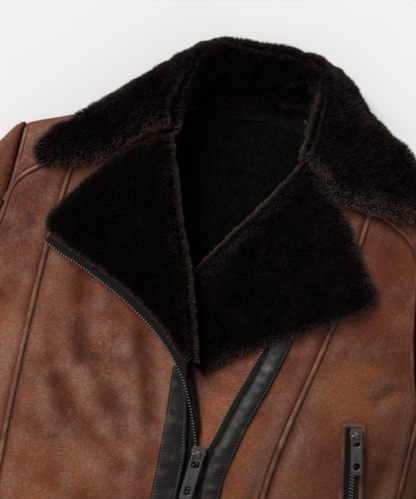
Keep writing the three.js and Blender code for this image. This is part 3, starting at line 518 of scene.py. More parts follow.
def line_between(a, b, count):
    """count + 1 points on a straight line."""
    return a + (b - a) * np.linspace(0, 1, count + 1)[:, None]


# Materials

def add(tree, kind, links=None, **settings):
    """A shader node with its settings, and its inputs linked to sockets or set to values."""
    node = tree.nodes.new(kind)
    for key, value in settings.items():
        setattr(node, key, value)
    for key, value in (links or {}).items():
        if isinstance(value, bpy.types.NodeSocket):
            tree.links.new(value, node.inputs[key])
        else:
            node.inputs[key].default_value = value
    return node


def ramp(tree, factor, stops):
    """A colour ramp through (place, colour) stops, where a bare number is a grey."""
    node = add(tree, "ShaderNodeValToRGB", {"Fac": factor})
    elements = node.color_ramp.elements
    while len(elements) < len(stops):
        elements.new(1)
    for element, (at, colour) in zip(elements, stops):
        element.position = at
        element.color = (colour, colour, colour, 1) if isinstance(colour, (int, float)) else (*colour, 1)
    return node.outputs["Color"]


def mix(tree, factor, a, b, how="MIX"):
    """Two colours mixed by a factor."""
    node = add(tree, "ShaderNodeMix", data_type="RGBA", blend_type=how)
    for socket, value in ((node.inputs[0], factor), (node.inputs[6], a), (node.inputs[7], b)):
        if isinstance(value, bpy.types.NodeSocket):
            tree.links.new(value, socket)
        elif isinstance(value, (int, float)):
            socket.default_value = value
        else:
            socket.default_value = (*value, 1)
    return node.outputs[2]


def noise(tree, where, scale, detail=3.0, rough=0.55):
    """A cloudy value from 0 to 1."""
    links = {"Vector": where, "Scale": scale, "Detail": detail, "Roughness": rough}
    return add(tree, "ShaderNodeTexNoise", links).outputs["Fac"]


def warped(tree, where, scale, amount):
    """The place, pushed about by a noise."""
    push = add(tree, "ShaderNodeTexNoise", {"Vector": where, "Scale": scale, "Detail": 2.0}).outputs["Color"]
    middle = (0.5, 0.5, 0.5)
    centred = add(tree, "ShaderNodeVectorMath", {0: push, 1: middle}, operation="SUBTRACT").outputs[0]
    scaled = add(tree, "ShaderNodeVectorMath", {0: centred, "Scale": amount}, operation="SCALE").outputs[0]
    return add(tree, "ShaderNodeVectorMath", {0: where, 1: scaled}, operation="ADD").outputs[0]


def cracks(tree, where, scale):
    """Distance to the edge of the cells of an uneven crackle."""
    return add(tree, "ShaderNodeTexVoronoi", {"Vector": where, "Scale": scale, "Randomness": 1.0},
               feature="DISTANCE_TO_EDGE").outputs["Distance"]


def bump(tree, height, strength, distance, under=None):
    """Normals tilted by a height, over those of another bump if there is one."""
    links = {"Height": height, "Strength": strength, "Distance": distance}
    if under is not None:
        links["Normal"] = under
    return add(tree, "ShaderNodeBump", links).outputs["Normal"]


def new_material(name, **values):
    """A material whose shader's own sockets hold the values given, and its tree, shader and object
    coordinates."""
    look = bpy.data.materials.new(name)
    look.use_nodes = True
    tree = look.node_tree
    shader = tree.nodes["Principled BSDF"]
    for key, value in values.items():
        shader.inputs[key.replace("_", " ")].default_value = value
    return look, tree, shader, add(tree, "ShaderNodeTexCoord").outputs["Object"]


def reach_along(tree, where, direction, start, end):
    """0 to 1 along a direction, between two distances in metres."""
    reach = add(tree, "ShaderNodeVectorMath", {0: where, 1: direction}, operation="DOT_PRODUCT")
    span = {"Value": reach.outputs["Value"], "From Min": start, "From Max": end}
    return add(tree, "ShaderNodeMapRange", span).outputs["Result"]


def with_painted_shade(tree, where, colour):
    """The leather is darker and redder toward the shoulders, partly painted shade from the collar and lapels
    and partly less wear, and darker toward the lower right, which is painted shade where the light falls off."""
    # Painted shade near the collar and lapels, partly less wear.
    shoulder = ramp(tree, reach_along(tree, where, (0, 1, 0), 0.02, 0.22),
                    [(0.0, (1.0, 1.0, 1.0)), (0.4, (0.86, 0.77, 0.69)), (1.0, (0.68, 0.50, 0.40))])
    # Painted shade: darker toward the lower right, where the light falls off.
    side = ramp(tree, reach_along(tree, where, (2.6, -2.5, 0), 0.12, 0.66),
                [(0.0, (1.0, 1.0, 1.0)), (1.0, (0.46, 0.44, 0.42))])
    return mix(tree, 1.0, mix(tree, 1.0, colour, shoulder, "MULTIPLY"), side, "MULTIPLY")


def brown_leather():
    """Waxed brown leather: a crackle of fine cells, greyer in worn patches and in painted highlights beside
    folds and seams, darker in painted shade in troughs and along seams, with thin light scratches."""
    look, tree, shader, where = new_material("brown_leather")
    shader.inputs["Specular IOR Level"].default_value = 0.26
    broad = noise(tree, where, 11, 3, 0.6)
    patch = noise(tree, where, 34, 4, 0.62)
    fine = noise(tree, where, 420, 3, 0.6)
    cell = cracks(tree, warped(tree, where, 110, 0.006), 185)
    wide_cell = cracks(tree, warped(tree, where, 60, 0.010), 84)
    scratch = cracks(tree, warped(tree, where, 55, 0.03), 62)
    base = ramp(tree, broad, [
        (0.34, (0.080, 0.0165, 0.0045)), (0.5, (0.158, 0.037, 0.0115)), (0.66, (0.262, 0.076, 0.026))])
    # Painted shade in troughs and along seams, and a lighter band beside them that is partly wear and partly
    # a painted highlight, as stored on each piece.
    painted_shade = add(tree, "ShaderNodeAttribute", attribute_name="painted_shade").outputs["Fac"]
    beside_fold = add(tree, "ShaderNodeAttribute", attribute_name="rubbed_and_highlit").outputs["Fac"]
    rubbed_and_highlit = mix(tree, 1.0, ramp(tree, patch, [(0.46, 0.0), (0.70, 0.6)]),
                 mix(tree, 1.0, ramp(tree, beside_fold, [(0.0, 0.0), (1.0, 1.0)]),
                     ramp(tree, patch, [(0.3, 0.2), (0.6, 1.0)]), "MULTIPLY"), "ADD")
    colour = mix(tree, rubbed_and_highlit, base, (0.235, 0.107, 0.066))
    speckle = ramp(tree, fine, [(0.3, (0.80, 0.78, 0.78)), (0.55, (1.0, 1.0, 1.0)), (0.75, (1.12, 1.1, 1.1))])
    colour = mix(tree, 0.8, colour, speckle, "MULTIPLY")
    line = ramp(tree, cell, [(0.0, 0.46), (0.03, 0.3), (0.08, 0.0)])
    line_here = mix(tree, 1.0, line, ramp(tree, patch, [(0.44, 0.05), (0.60, 1.0)]), "MULTIPLY")
    colour = mix(tree, line_here, colour, (0.085, 0.021, 0.008))
    scratch_here = mix(tree, 1.0, ramp(tree, scratch, [(0.0, 0.8), (0.03, 0.0)]),
                       ramp(tree, noise(tree, where, 45, 2), [(0.42, 0.0), (0.6, 1.0)]), "MULTIPLY")
    colour = mix(tree, scratch_here, colour, (0.300, 0.100, 0.042))
    # Painted shade: darkest along the seams and in the troughs.
    colour = mix(tree, 1.0, colour, ramp(tree, painted_shade, [(0.0, 1.0), (1.0, (0.40, 0.32, 0.30))]), "MULTIPLY")
    tree.links.new(with_painted_shade(tree, where, colour), shader.inputs["Base Color"])
    tree.links.new(ramp(tree, patch, [(0.3, 0.62), (0.7, 0.5)]), shader.inputs["Roughness"])
    small = bump(tree, ramp(tree, cell, [(0.0, 0.0), (0.08, 1.0)]), 0.5, 0.0006)
    middle = bump(tree, ramp(tree, wide_cell, [(0.0, 0.0), (0.06, 1.0)]), 0.25, 0.0008, small)
    grain = bump(tree, patch, 0.3, 0.002, bump(tree, fine, 0.2, 0.0004, middle))
    tree.links.new(grain, shader.inputs["Normal"])
    return look


def seam_leather():
    """The same leather, drawn tight and polished over a seam."""
    look, tree, shader, where = new_material("seam_leather")
    shader.inputs["Specular IOR Level"].default_value = 0.4
    patch = noise(tree, where, 60, 4)
    fine = noise(tree, where, 500, 3)
    colour = ramp(tree, patch, [
        (0.35, (0.095, 0.029, 0.013)), (0.5, (0.165, 0.055, 0.026)), (0.68, (0.240, 0.105, 0.062))])
    colour = mix(tree, 0.7, colour, ramp(tree, fine, [(0.3, 0.7), (0.7, 1.15)]), "MULTIPLY")
    # The same painted shade as on the brown leather.
    tree.links.new(with_painted_shade(tree, where, colour), shader.inputs["Base Color"])
    tree.links.new(ramp(tree, patch, [(0.3, 0.55), (0.7, 0.42)]), shader.inputs["Roughness"])
    tree.links.new(bump(tree, fine, 0.4, 0.0004), shader.inputs["Normal"])
    return look


def black_leather():
    """Smooth black leather of the bands beside the zip, with a soft gloss and a few pulled creases."""
    look, tree, shader, where = new_material("black_leather", Coat_Weight=0.1, Coat_Roughness=0.35)
    shader.inputs["Specular IOR Level"].default_value = 0.3
    patch = noise(tree, where, 70, 4)
    fine = noise(tree, where, 600, 3)
    colour = ramp(tree, patch, [
        (0.38, (0.004, 0.0032, 0.0025)), (0.56, (0.010, 0.0080, 0.0062)), (0.74, (0.045, 0.036, 0.029))])
    tree.links.new(colour, shader.inputs["Base Color"])
    tree.links.new(ramp(tree, patch, [(0.3, 0.46), (0.7, 0.34)]), shader.inputs["Roughness"])
    pulled = bump(tree, patch, 0.35, 0.002)
    tree.links.new(bump(tree, fine, 0.3, 0.0003, pulled), shader.inputs["Normal"])
    return look


def zip_tape():
    """Woven tape: fine ribs along and across."""
    look, tree, shader, where = new_material("zip_tape", Roughness=0.85)
    shader.inputs["Specular IOR Level"].default_value = 0.2
    ribs = add(tree, "ShaderNodeTexWave", {"Vector": where, "Scale": 260.0, "Distortion": 0.6},
               bands_direction="DIAGONAL").outputs["Fac"]
    fine = noise(tree, where, 900, 2)
    weave = ramp(tree, ribs, [(0.2, (0.002, 0.0022, 0.0018)), (0.8, (0.008, 0.0084, 0.0066))])
    colour = mix(tree, 0.6, weave, ramp(tree, fine, [(0.3, 0.6), (0.7, 1.2)]), "MULTIPLY")
    tree.links.new(colour, shader.inputs["Base Color"])
    tree.links.new(bump(tree, ribs, 0.5, 0.0003), shader.inputs["Normal"])
    return look


def shaded(tree, factor, tone, low, high):
    """A tone that runs from one share of itself to another."""
    return ramp(tree, factor, [(0.3, tuple(low * c for c in tone)), (0.7, tuple(high * c for c in tone))])


def dark_metal(name, tone, rough):
    """Gunmetal plating, lighter where it is worn."""
    look, tree, shader, where = new_material(name, Metallic=1.0)
    patch = noise(tree, where, 260, 4, 0.6)
    tree.links.new(shaded(tree, patch, tone, 0.7, 1.25), shader.inputs["Base Color"])
    tree.links.new(ramp(tree, patch, [(0.3, rough + 0.08), (0.7, rough - 0.05)]), shader.inputs["Roughness"])
    tree.links.new(bump(tree, noise(tree, where, 1400, 2), 0.15, 0.0001), shader.inputs["Normal"])
    return look


def thread(name, tone):
    """Waxed sewing thread with a fine twist."""
    look, tree, shader, where = new_material(name, Roughness=0.6)
    twist = noise(tree, where, 2200, 2)
    tree.links.new(shaded(tree, twist, tone, 0.6, 1.3), shader.inputs["Base Color"])
    return look


def pile(name, root, tip):
    """Dark wool pile: near black at the root, a soft brown sheen at the tip. Each blade carries its own tone,
    which holds painted highlights at rims and roll lines and where the pile turns sideways."""
    look, tree, shader, where = new_material(name, Roughness=0.7, Sheen_Weight=0.03, Sheen_Roughness=0.5)
    shader.inputs["Sheen Tint"].default_value = (0.55, 0.42, 0.38, 1)
    shader.inputs["Specular IOR Level"].default_value = 0.07
    tone = add(tree, "ShaderNodeAttribute", attribute_name="tone").outputs["Fac"]
    low = tuple(0.8 * a + 0.1 * b for a, b in zip(root, tip))
    high = tuple(0.5 * c for c in tip)
    colour = ramp(tree, tone, [(0.0, root), (0.3, low), (0.6, high), (1.0, tip)])
    tree.links.new(colour, shader.inputs["Base Color"])
    return look


def pile_ground():
    """The skin under the pile and the unseen lining: matted near-black wool."""
    look, tree, shader, where = new_material("pile_ground", Roughness=0.95)
    shader.inputs["Specular IOR Level"].default_value = 0.1
    clump = noise(tree, where, 190, 4, 0.65)
    tree.links.new(ramp(tree, clump, [(0.3, (0.0012, 0.0009, 0.0008)), (0.7, (0.007, 0.005, 0.0045))]),
                   shader.inputs["Base Color"])
    tree.links.new(bump(tree, clump, 0.9, 0.003), shader.inputs["Normal"])
    return look


LEATHER = brown_leather()
SEAM_LEATHER = seam_leather()
BLACK_LEATHER = black_leather()
TAPE = zip_tape()
METAL = dark_metal("gunmetal", (0.15, 0.14, 0.13), 0.34)
TEETH_METAL = dark_metal("zip_teeth_metal", (0.48, 0.45, 0.40), 0.26)
BROWN_THREAD = thread("brown_thread", (0.022, 0.008, 0.005))
# Thread on the black bands, drawn mid grey: its lightness is a painted highlight on dark stitches.
BLACK_THREAD = thread("black_thread", (0.095, 0.084, 0.074))
PILE = pile("dark_pile", (0.0012, 0.0007, 0.0005), (0.140, 0.092, 0.078))
GROUND = pile_ground()


# Fronts, back and sleeves

def front_panels(side):
    """Centre front, side front, side panel and yoke of one side."""
    s = SEAMS[side]
    height = HEIGHT[side]
    folds = FOLDS[side]
    looks = [LEATHER, GROUND]
    hem = line_between(s["front_edge"][-1], s["princess"][-1], 60)
    yoke_inner = evenly(s["yoke_inner"], 60)
    panel(f"centre_front_{side}_shell", net(s["front_edge"], s["princess"], yoke_inner, hem),
          height, BODY_WALL, True, looks, folds)
    side_edge = join(s["arm_middle"], s["seam_b"])
    hem = line_between(s["princess"][-1], s["seam_b"][-1], 40)
    panel(f"side_front_{side}_shell", net(s["princess"], side_edge, s["yoke_outer"], hem),
          front_height, BODY_WALL, True, looks, folds)
    hem = line_between(s["seam_b"][-1], s["side_edge"][-1], 12)
    panel(f"side_panel_{side}_shell", net(s["seam_b"], s["side_edge"], s["arm_lower"], hem),
          front_height, BODY_WALL, True, looks)
    yoke_seam = join(s["yoke_inner"], s["yoke_outer"])
    panel(f"yoke_{side}_shell", net(s["neckline"], s["arm_upper"], s["shoulder"], yoke_seam),
          height, BODY_WALL, True, looks, folds)


def side_rows(s):
    """The back's edge on one side, from the shoulder's end down the armhole and the side to the hem."""
    return thinned(evenly(join(s["arm_upper"], s["arm_middle"], s["arm_lower"], s["side_edge"]), 170), 110)


def back_panel():
    """The back, one panel between its neck edge, both shoulders, both sides and the hem."""
    left, right = SEAMS["left"], SEAMS["right"]
    neck = evenly([left["shoulder"][0], *BACK_NECK[1:-1], right["shoulder"][0]], 60)
    top = join(thinned(left["shoulder"][::-1], 30), thinned(neck, 40), thinned(right["shoulder"], 30))
    left_rows, right_rows = side_rows(left), side_rows(right)
    bottom = line_between(left_rows[-1], right_rows[-1], len(top) - 1)
    panel("back_shell", net(left_rows, right_rows, top, bottom), back_height, BACK_WALL, False,
          [LEATHER, GROUND])


for name in SIGN:
    front_panels(name)
back_panel()


# Collar and lapels

# Collar sections from the neck seam over the roll: neck, roll, near leaf, mid leaf, far leaf, outer edge
COLLAR = [
    [(-53, 38, 57), (-61, 42, 73), (-88, 31.5, 67), (-117, -1, 60), (-158, -18, 57), (-190, -20, 54)],
    [(-55, 50, 44), (-63, 50, 74), (-92, 44, 68), (-123, 22, 62), (-162, -4, 58), (-196, -8, 52)],
    [(-55, 64, 28), (-62, 70, 75), (-90, 62, 68), (-124, 42, 62), (-160, 22, 58), (-187, 12, 53)],
    [(-53, 71, 21), (-57, 88, 74), (-82, 82, 67), (-113, 64, 60), (-145, 44, 56), (-168, 33, 50)],
    [(-48, 74, 19), (-53, 104, 72), (-72, 101, 65), (-98, 86, 52), (-120, 72, 34), (-124, 69, 16)],
    [(-38, 77, 18), (-47, 121, 64), (-58, 124, 56), (-72, 116, 42), (-84, 102, 24), (-80, 96, 10)],
    [(-22, 80, 17), (-28, 131, 46), (-31, 139, 38), (-36, 141, 24), (-36, 134, 6), (-33, 116, 2)],
    [(0, 83, 16), (0, 130, 38), (0, 141, 32), (0, 145.5, 18), (0, 139, 4), (0, 115, 2)],
    [(25, 85.5, 16), (25, 130, 37), (25, 143, 31), (25, 147.5, 18), (25, 141, 4), (25, 116, 2)],
    [(48, 86, 17), (52, 130, 44), (53, 143, 36), (55, 146, 22), (54, 140, 5), (51, 118, 2)],
    [(62, 85.5, 18), (73, 124, 63), (82, 131, 54), (94, 132, 40), (104, 122, 22), (98, 114, 9)],
    [(69, 82, 20), (77, 104, 72), (98, 103, 65), (122, 96, 52), (143, 88, 36), (144, 84, 20)],
    [(71, 74, 26), (77, 86, 74), (106, 80, 67), (138, 74, 60), (170, 70, 52), (184, 66, 42)],
    [(71, 62, 34), (76.5, 66, 74), (108, 58, 67), (146, 48, 61), (180, 42, 56), (207, 42, 49)],
    [(68, 48, 46), (75.5, 50, 73), (104, 40, 67), (138, 26, 61), (178, 14, 57), (213, 18, 51)],
    [(65, 38, 57), (73, 41, 71), (93, 20.5, 66), (119, 1, 60), (162, -2, 57), (204, -2, 54)],
]
# The skin stands this far above the leather side, and its edge this far in from the tips of the pile
SKIN_RISE = 6.2
SKIN_INSET = 4.0
SKIN_ROUNDING = 11
GORGE_INSET = 0.5
GORGE_REACH = 0.33
COLLAR_DRAFT = (180, 60)
COLLAR_STEPS = (170, 56)
LAPEL_STEPS = (90, 44)
FOLD_STEPS = 14


def redraw(grid, axis, start_gap, end_gap, count):
    """The grid with count + 1 even steps along one axis, drawn in from that axis's two borders by set
    distances."""
    lines = np.moveaxis(grid, axis, 0)
    step = np.linalg.norm(np.diff(lines, axis=0), axis=-1)
    far = np.concatenate([np.zeros((1, step.shape[1])), np.cumsum(step, 0)])
    share = np.linspace(0, 1, count + 1)
    redrawn = []
    for k in range(lines.shape[1]):
        reach = far[-1, k]
        start, end = min(start_gap, 0.3 * reach), min(end_gap, 0.3 * reach)
        at = start + share * (reach - start - end)
        redrawn.append(read_line(at, far[:, k], lines[:, k]))
    return np.moveaxis(np.stack(redrawn, 1), 0, axis)


def rounded(gap, rounding):
    """0 at a border, then a quarter circle up to 1."""
    return np.sqrt(np.clip(1 - (1 - np.clip(gap / rounding, 0, 1)) ** 2, 0, 1))


def collar_skin():
    """Leather side and skin side of the collar. Smooth sections are joined by smooth lines, the leather
    lies a wall in from the pile's tips, and the leaves are lifted clear of the shoulders."""
    sections = curve(np.swapaxes(np.array(COLLAR, float), 0, 1), np.linspace(0, 1, COLLAR_DRAFT[1]))
    tips = curve(np.swapaxes(sections, 0, 1), np.linspace(0, 1, COLLAR_DRAFT[0]))
    normals = grid_normals(tips)
    leather = tips - FUR_WALL * normals
    x, y = np.abs(leather[..., 0]), leather[..., 1]
    past_stand = ease((np.linspace(0, 1, COLLAR_DRAFT[1]) - 0.15) / 0.1)[None]
    above = np.maximum(front_height(leather[..., 0], y) + LAY_GAP - leather[..., 2], 0)
    leather[..., 2] += above * ease((x - 62) / 8) * ease((shoulder_line(x) + 7 - y) / 8) * past_stand
    leather = redraw(leather, 0, GORGE_INSET, GORGE_INSET, COLLAR_STEPS[0])
    leather = redraw(leather, 1, 0, SKIN_INSET, COLLAR_STEPS[1])
    top, bottom, neck, edge = border_gap(leather)
    outer_gap = np.minimum(1.6 * np.minimum(top, bottom) + 1, edge)
    rise = SKIN_RISE * rounded(outer_gap, SKIN_ROUNDING) * (0.35 + 0.65 * ease(neck / 7))
    x, y = leather[..., 0], leather[..., 1]
    rise = rise * (1 + 0.22 * wander(x, y, 15, 21) + 0.15 * wander(x, y, 7, 22))
    return leather, leather + grid_normals(leather) * rise[..., None]


def lapel_skin(side):
    """Leather side and skin side of a lapel. Along each section, out from the roll line, the pile's tips
    rise round the fold and then thin to the outer edge; the skin lies part way from the leather to them."""
    table = np.array(LAPELS[side], float)
    table[0] += GORGE_REACH * (table[0] - table[1])
    rows = curve(table, np.linspace(0, 1, LAPEL_STEPS[0] + 1))
    roll, edge, puff = rows[:, None, :2], rows[:, None, 2:4], rows[:, None, 4]
    width = np.linalg.norm(edge - roll, axis=-1)
    run = (edge - roll) / width[..., None]
    fold = curve([(10, -6, 0), (4.5, -5.4, 0), (1.2, -2, 0), (0, 0, 0.3), (0.8, 0, 0.65), (4, 0, 0.9)],
                 np.linspace(0, 1, FOLD_STEPS))
    share = np.linspace(0, 1, LAPEL_STEPS[1])[None]
    reach = ROLL_SETBACK + share * (width - ROLL_SETBACK - SKIN_INSET)
    rest = LAY_GAP + FUR_WALL
    top = rest + np.maximum(puff - rest, 0) * np.exp(-((reach / 34) ** 2))
    height = HEIGHT[side]

    def at(out, lift):
        plan = roll + run * out[..., None]
        held = roll + run * np.maximum(out, ROLL_SETBACK)[..., None]
        return np.concatenate([plan, (height(held[..., 0], held[..., 1]) + lift)[..., None]], -1)

    across = np.broadcast_to(fold[None, :, 0], (len(rows), FOLD_STEPS))
    tips = np.concatenate([at(across, fold[None, :, 1] + fold[None, :, 2] * puff), at(reach, top)], 1)
    tuck = np.linspace(10, 9.5, FOLD_STEPS)[None] * np.ones_like(width)
    low = np.maximum(top - FUR_WALL, LAY_GAP)
    under = np.concatenate([at(tuck, 0.05 * (10 - tuck) + 0.2), at(reach, low)], 1)
    gap = np.concatenate([np.full(across.shape, 99.0), width - SKIN_INSET - reach], 1)
    mid = tips[:, 20]
    along = np.concatenate([[0], np.cumsum(np.linalg.norm(np.diff(mid, axis=0), axis=1))])
    ends = np.minimum(1.6 * along + 3, along[-1] - along)[:, None]
    x, y = tips[..., 0], tips[..., 1]
    uneven = 1 + 0.14 * wander(x, y, 15, 31) + 0.1 * wander(x, y, 7, 32)
    part = 0.6 * uneven * (0.12 + 0.88 * rounded(np.minimum(gap, ends + 2), SKIN_ROUNDING))
    part[:, :FOLD_STEPS] = np.maximum(part[:, :FOLD_STEPS], 0.78)
    return under, under + (tips - under) * part[..., None]


# Pile by its place: how many hairs, their length, and how light they are
PILES = {
    "collar half": (42000, 6.2, 0.36),
    "left lapel": (35000, 6.0, 0.20),
    "right lapel": (41000, 6.0, 0.20),
    # The lining's pile is kept near black: painted shade inside the open neck.
    "lining": (21000, 7.0, 0.05),
    "front edge": (3500, 5.0, 0.3),
    "neck": (7000, 6.0, 0.38),
}


def hairs(name, skin, out, kind, comb, seed, share=None, rim=None):
    """Pile on a grid of skin. Each hair is a blade from a random root: it leaves along the skin's normal,
    leans with the comb and with the tuft it stands in, and narrows from two corners at the root to a
    point."""
    count, length, light = PILES[kind]
    rng = np.random.default_rng(seed)
    a, b, c = skin[:-1, :-1], skin[1:, :-1], skin[:-1, 1:]
    area = np.linalg.norm(np.cross(b - a, c - a), axis=-1)
    if share is not None:
        area = area * share
    pick = rng.choice(area.size, count, p=area.ravel() / area.sum())
    i, j = np.divmod(pick, skin.shape[1] - 1)
    s, t = rng.random((2, count))

    def at(grid):
        weights = ((1 - s) * (1 - t), s * (1 - t), (1 - s) * t, s * t)
        corners = (grid[i, j], grid[i + 1, j], grid[i, j + 1], grid[i + 1, j + 1])
        return sum(w.reshape(-1, *[1] * (corner.ndim - 1)) * corner for w, corner in zip(weights, corners))

    root, normal, flow = at(skin), at(out), at(comb)
    x, y = root[:, 0] + 0.4 * root[:, 2], root[:, 1] + 0.4 * root[:, 2]
    tuft = np.stack([wander(x, y, 9, seed + k) + 0.6 * wander(x, y, 4, seed + 10 + k) for k in range(3)], -1)
    lean = flow + 0.24 * tuft + rng.normal(0, 0.13, (count, 3))
    lean -= 0.7 * normal * (lean * normal).sum(1, keepdims=True)
    stand = unit(normal + lean)
    tip_way = unit(stand + 0.4 * lean + rng.normal(0, 0.1, (count, 3)))
    reach = (length * rng.uniform(0.8, 1.12, count) * (1 + 0.16 * wander(x, y, 6, seed + 20)))[:, None]
    side = np.cross(stand, rng.normal(0, 1, (count, 3)))
    side *= rng.uniform(0.25, 0.45, (count, 1)) / np.linalg.norm(side, axis=1, keepdims=True)
    middle = root + 0.55 * reach * stand
    tip = middle + 0.45 * reach * tip_way
    points = np.stack([root - normal - side, root - normal + side,
                       middle - 0.8 * side, middle + 0.8 * side, tip], 1)
    faces = copies(np.array([(0, 1, 3), (0, 3, 2), (2, 3, 4)]), 5, count)
    points[..., 2] = np.maximum(points[..., 2], 0.2)
    piece = make_mesh(name, points.reshape(-1, 3), faces, [PILE], sharp=180)
    shade = light + rng.uniform(-0.09, 0.09, count) + 0.05 * wander(x, y, 7, seed + 30)
    # Painted highlight: besides a slight wander, the pile is lighter where its skin turns sideways.
    shade += 0.09 * wander(x, y, 26, seed + 31) + 0.35 * (1 - np.clip(normal[:, 2], 0, 1)) ** 1.2
    # Painted rim highlight, given by the caller.
    if rim is not None:
        shade = shade + at(rim)
    store(piece, "tone", np.stack([0 * shade, 0 * shade, 0.4 * shade, 0.4 * shade, shade], 1))
    return place(piece)


def comb_of(skin, down, along=0.0):
    """Lean of the pile: across the grid by one share and along it by another."""
    return down * unit(np.gradient(skin, axis=1)) + along * unit(np.gradient(skin, axis=0))


def rim_light(gaps, most, reach):
    """Painted rim highlight: how much lighter the pile is near borders, the most at a border, and nothing
    past the reach.
    """
    return most * (1 - ease(np.minimum.reduce(gaps) / reach))


def collar():
    """The collar's furred skin and its pile, in a left and a right half."""
    leather, skin = collar_skin()
    place(wall("collar_skin", skin, leather, [GROUND, LEATHER]), ["collar"])
    out = grid_normals(skin)
    top, bottom, _, edge = border_gap(skin)
    # Painted rim highlight along the collar's borders.
    rim = rim_light((top, bottom, edge), 0.8, 26)
    comb = comb_of(skin, 0.3)
    half = skin.shape[0] // 2
    for part, rows, seed in (("left", slice(0, half + 1), 40), ("right", slice(half, None), 60)):
        hairs(f"collar_pile_{part}", skin[rows], out[rows], "collar half", comb[rows], seed, rim=rim[rows])


def lapels():
    """Both lapels' skin and pile. The turned-under side is leather up to the roll."""
    for side, seed in (("left", 80), ("right", 100)):
        leather, skin = lapel_skin(side)
        piece = place(wall(f"lapel_{side}_skin", skin, leather, [GROUND, LEATHER]), [f"lapel_{side}"])
        cells = (skin.shape[0] - 1, skin.shape[1] - 1)
        look = np.zeros(len(piece.data.polygons), np.int32)
        leather_side = np.ones(cells, np.int32)
        leather_side[:, :FOLD_STEPS + 2] = 0
        look[leather_side.size:2 * leather_side.size] = leather_side.ravel()
        piece.data.polygons.foreach_set("material_index", look)
        out = upward(grid_normals(skin))
        top, bottom, fold, edge = border_gap(skin)
        # Painted rim highlight along the borders and along the roll.
        rim = np.maximum(rim_light((top, bottom, edge), 0.6, 20), rim_light((fold - 14,), 0.62, 26))
        hairs(f"lapel_pile_{side}", skin, out, f"{side} lapel", comb_of(skin, 0.3, 0.1), seed, rim=rim)


def lining():
    """Pile of the back's inner face, where the open neck shows it."""
    x, y = np.meshgrid(np.linspace(-92, 100, 60), np.linspace(78, -230, 90))
    skin = np.stack([x, y, back_height(x, y) + BACK_WALL - 1.5], -1)
    inside = (y < shoulder_line(np.abs(x)) - 4)[:-1, :-1].astype(float)
    comb = np.zeros_like(skin)
    comb[..., 1] = -0.35
    out = np.broadcast_to(np.array([0.0, 0.0, 1.0]), skin.shape)
    hairs("lining_pile", skin, out, "lining", comb, 120, share=inside)


collar()
lapels()
lining()


# Sleeves

SLEEVE_CAP = [(-219, 12), (-229, -5), (-244, -28), (-268, -55), (-300, -90), (-340, -135), (-374, -178),
              (-398, -212)]
SLEEVE_CROWN_Z = 50
CUFF_CROWN_Z = 36
SLEEVE_LEAN = math.radians(8)
SLEEVE_BICEP = 136
SLEEVE_CUFF = 112
SLEEVE_BELOW_UNDERARM = 350
CAP_ROWS = 30
SLEEVE_ROWS = 56
EDGE_SMOOTHING = 16
END_ROWS = 2
# Soft troughs across the left sleeve, mirrored on the right: half width, depth, line
SLEEVE_FOLDS = [
    (10, 2.6, [(-296, -150), (-330, -182), (-352, -190)]),
    (9, 3.0, [(-300, -290), (-330, -312), (-372, -316)]),
    (9, 2.4, [(-388, -286), (-360, -330), (-326, -344)]),
    (8, 2.2, [(-318, -372), (-350, -392), (-384, -390)]),
    (9, 1.8, [(-404, -448), (-372, -470), (-344, -500)]),
]


def sleeve_face(side, up):
    """Outer face of one half of a sleeve. Rows run from the shoulder to the cuff, each rising from the
    armhole or the inner edge to a crown and falling to the outer edge."""
    sign = SIGN[side]
    t = np.linspace(0, 1, CAP_ROWS + 1)
    y = np.interp(t * 11, [0, 4, 9, 11], [18, YOKE_END_Y[side], SEAM_B_TOP_Y, UNDERARM_Y])
    armhole = np.stack([sign * armhole_x(y), y], -1)
    cap = curve(SLEEVE_CAP, t) * [-sign, 1]
    run = np.array([sign * math.sin(SLEEVE_LEAN), -math.cos(SLEEVE_LEAN)])
    out = np.array([sign * math.cos(SLEEVE_LEAN), math.sin(SLEEVE_LEAN)])
    below = np.linspace(0, 1, SLEEVE_ROWS + 1)[:, None]
    middle = armhole[-1] + out * SLEEVE_BICEP / 2 + run * below * SLEEVE_BELOW_UNDERARM
    half = out * (SLEEVE_BICEP + (SLEEVE_CUFF - SLEEVE_BICEP) * below) / 2
    inner_edge, outer_edge = join(armhole, middle - half), join(cap, middle + half)
    for _ in range(EDGE_SMOOTHING):
        outer_edge[1:-1] = (outer_edge[:-2] + 2 * outer_edge[1:-1] + outer_edge[2:]) / 4
    down = np.concatenate([np.zeros(CAP_ROWS), below[:, 0]])
    on_armhole = np.arange(len(inner_edge)) <= CAP_ROWS
    x, y = inner_edge.T
    start = np.where(on_armhole, front_height(x, y) if up else back_height(x, y), EDGE_Z)
    size = np.minimum(np.linalg.norm(outer_edge - inner_edge, axis=1) / 60, 1)
    crown_z = SLEEVE_CROWN_Z + (CUFF_CROWN_Z - SLEEVE_CROWN_Z) * down
    top = np.maximum(start, EDGE_Z) * (1 - size) + crown_z * size if up else np.zeros_like(start)
    across = (1 - np.cos(math.pi * np.linspace(0, 1, 30)))[None] / 2
    plan = inner_edge[:, None] * (1 - across[..., None]) + outer_edge[:, None] * across[..., None]
    level = top - EDGE_Z
    first = ((start - EDGE_Z) / np.where(level == 0, 1, level))[:, None]
    rise = np.sqrt(first**2 + (1 - first**2) * (1 - np.maximum(1 - across / 0.45, 0) ** 3))
    fall = np.sqrt(1 - np.maximum((across - 0.5) / 0.5, 0) ** 3)
    return np.concatenate([plan, (EDGE_Z + level[:, None] * rise * fall)[..., None]], -1)


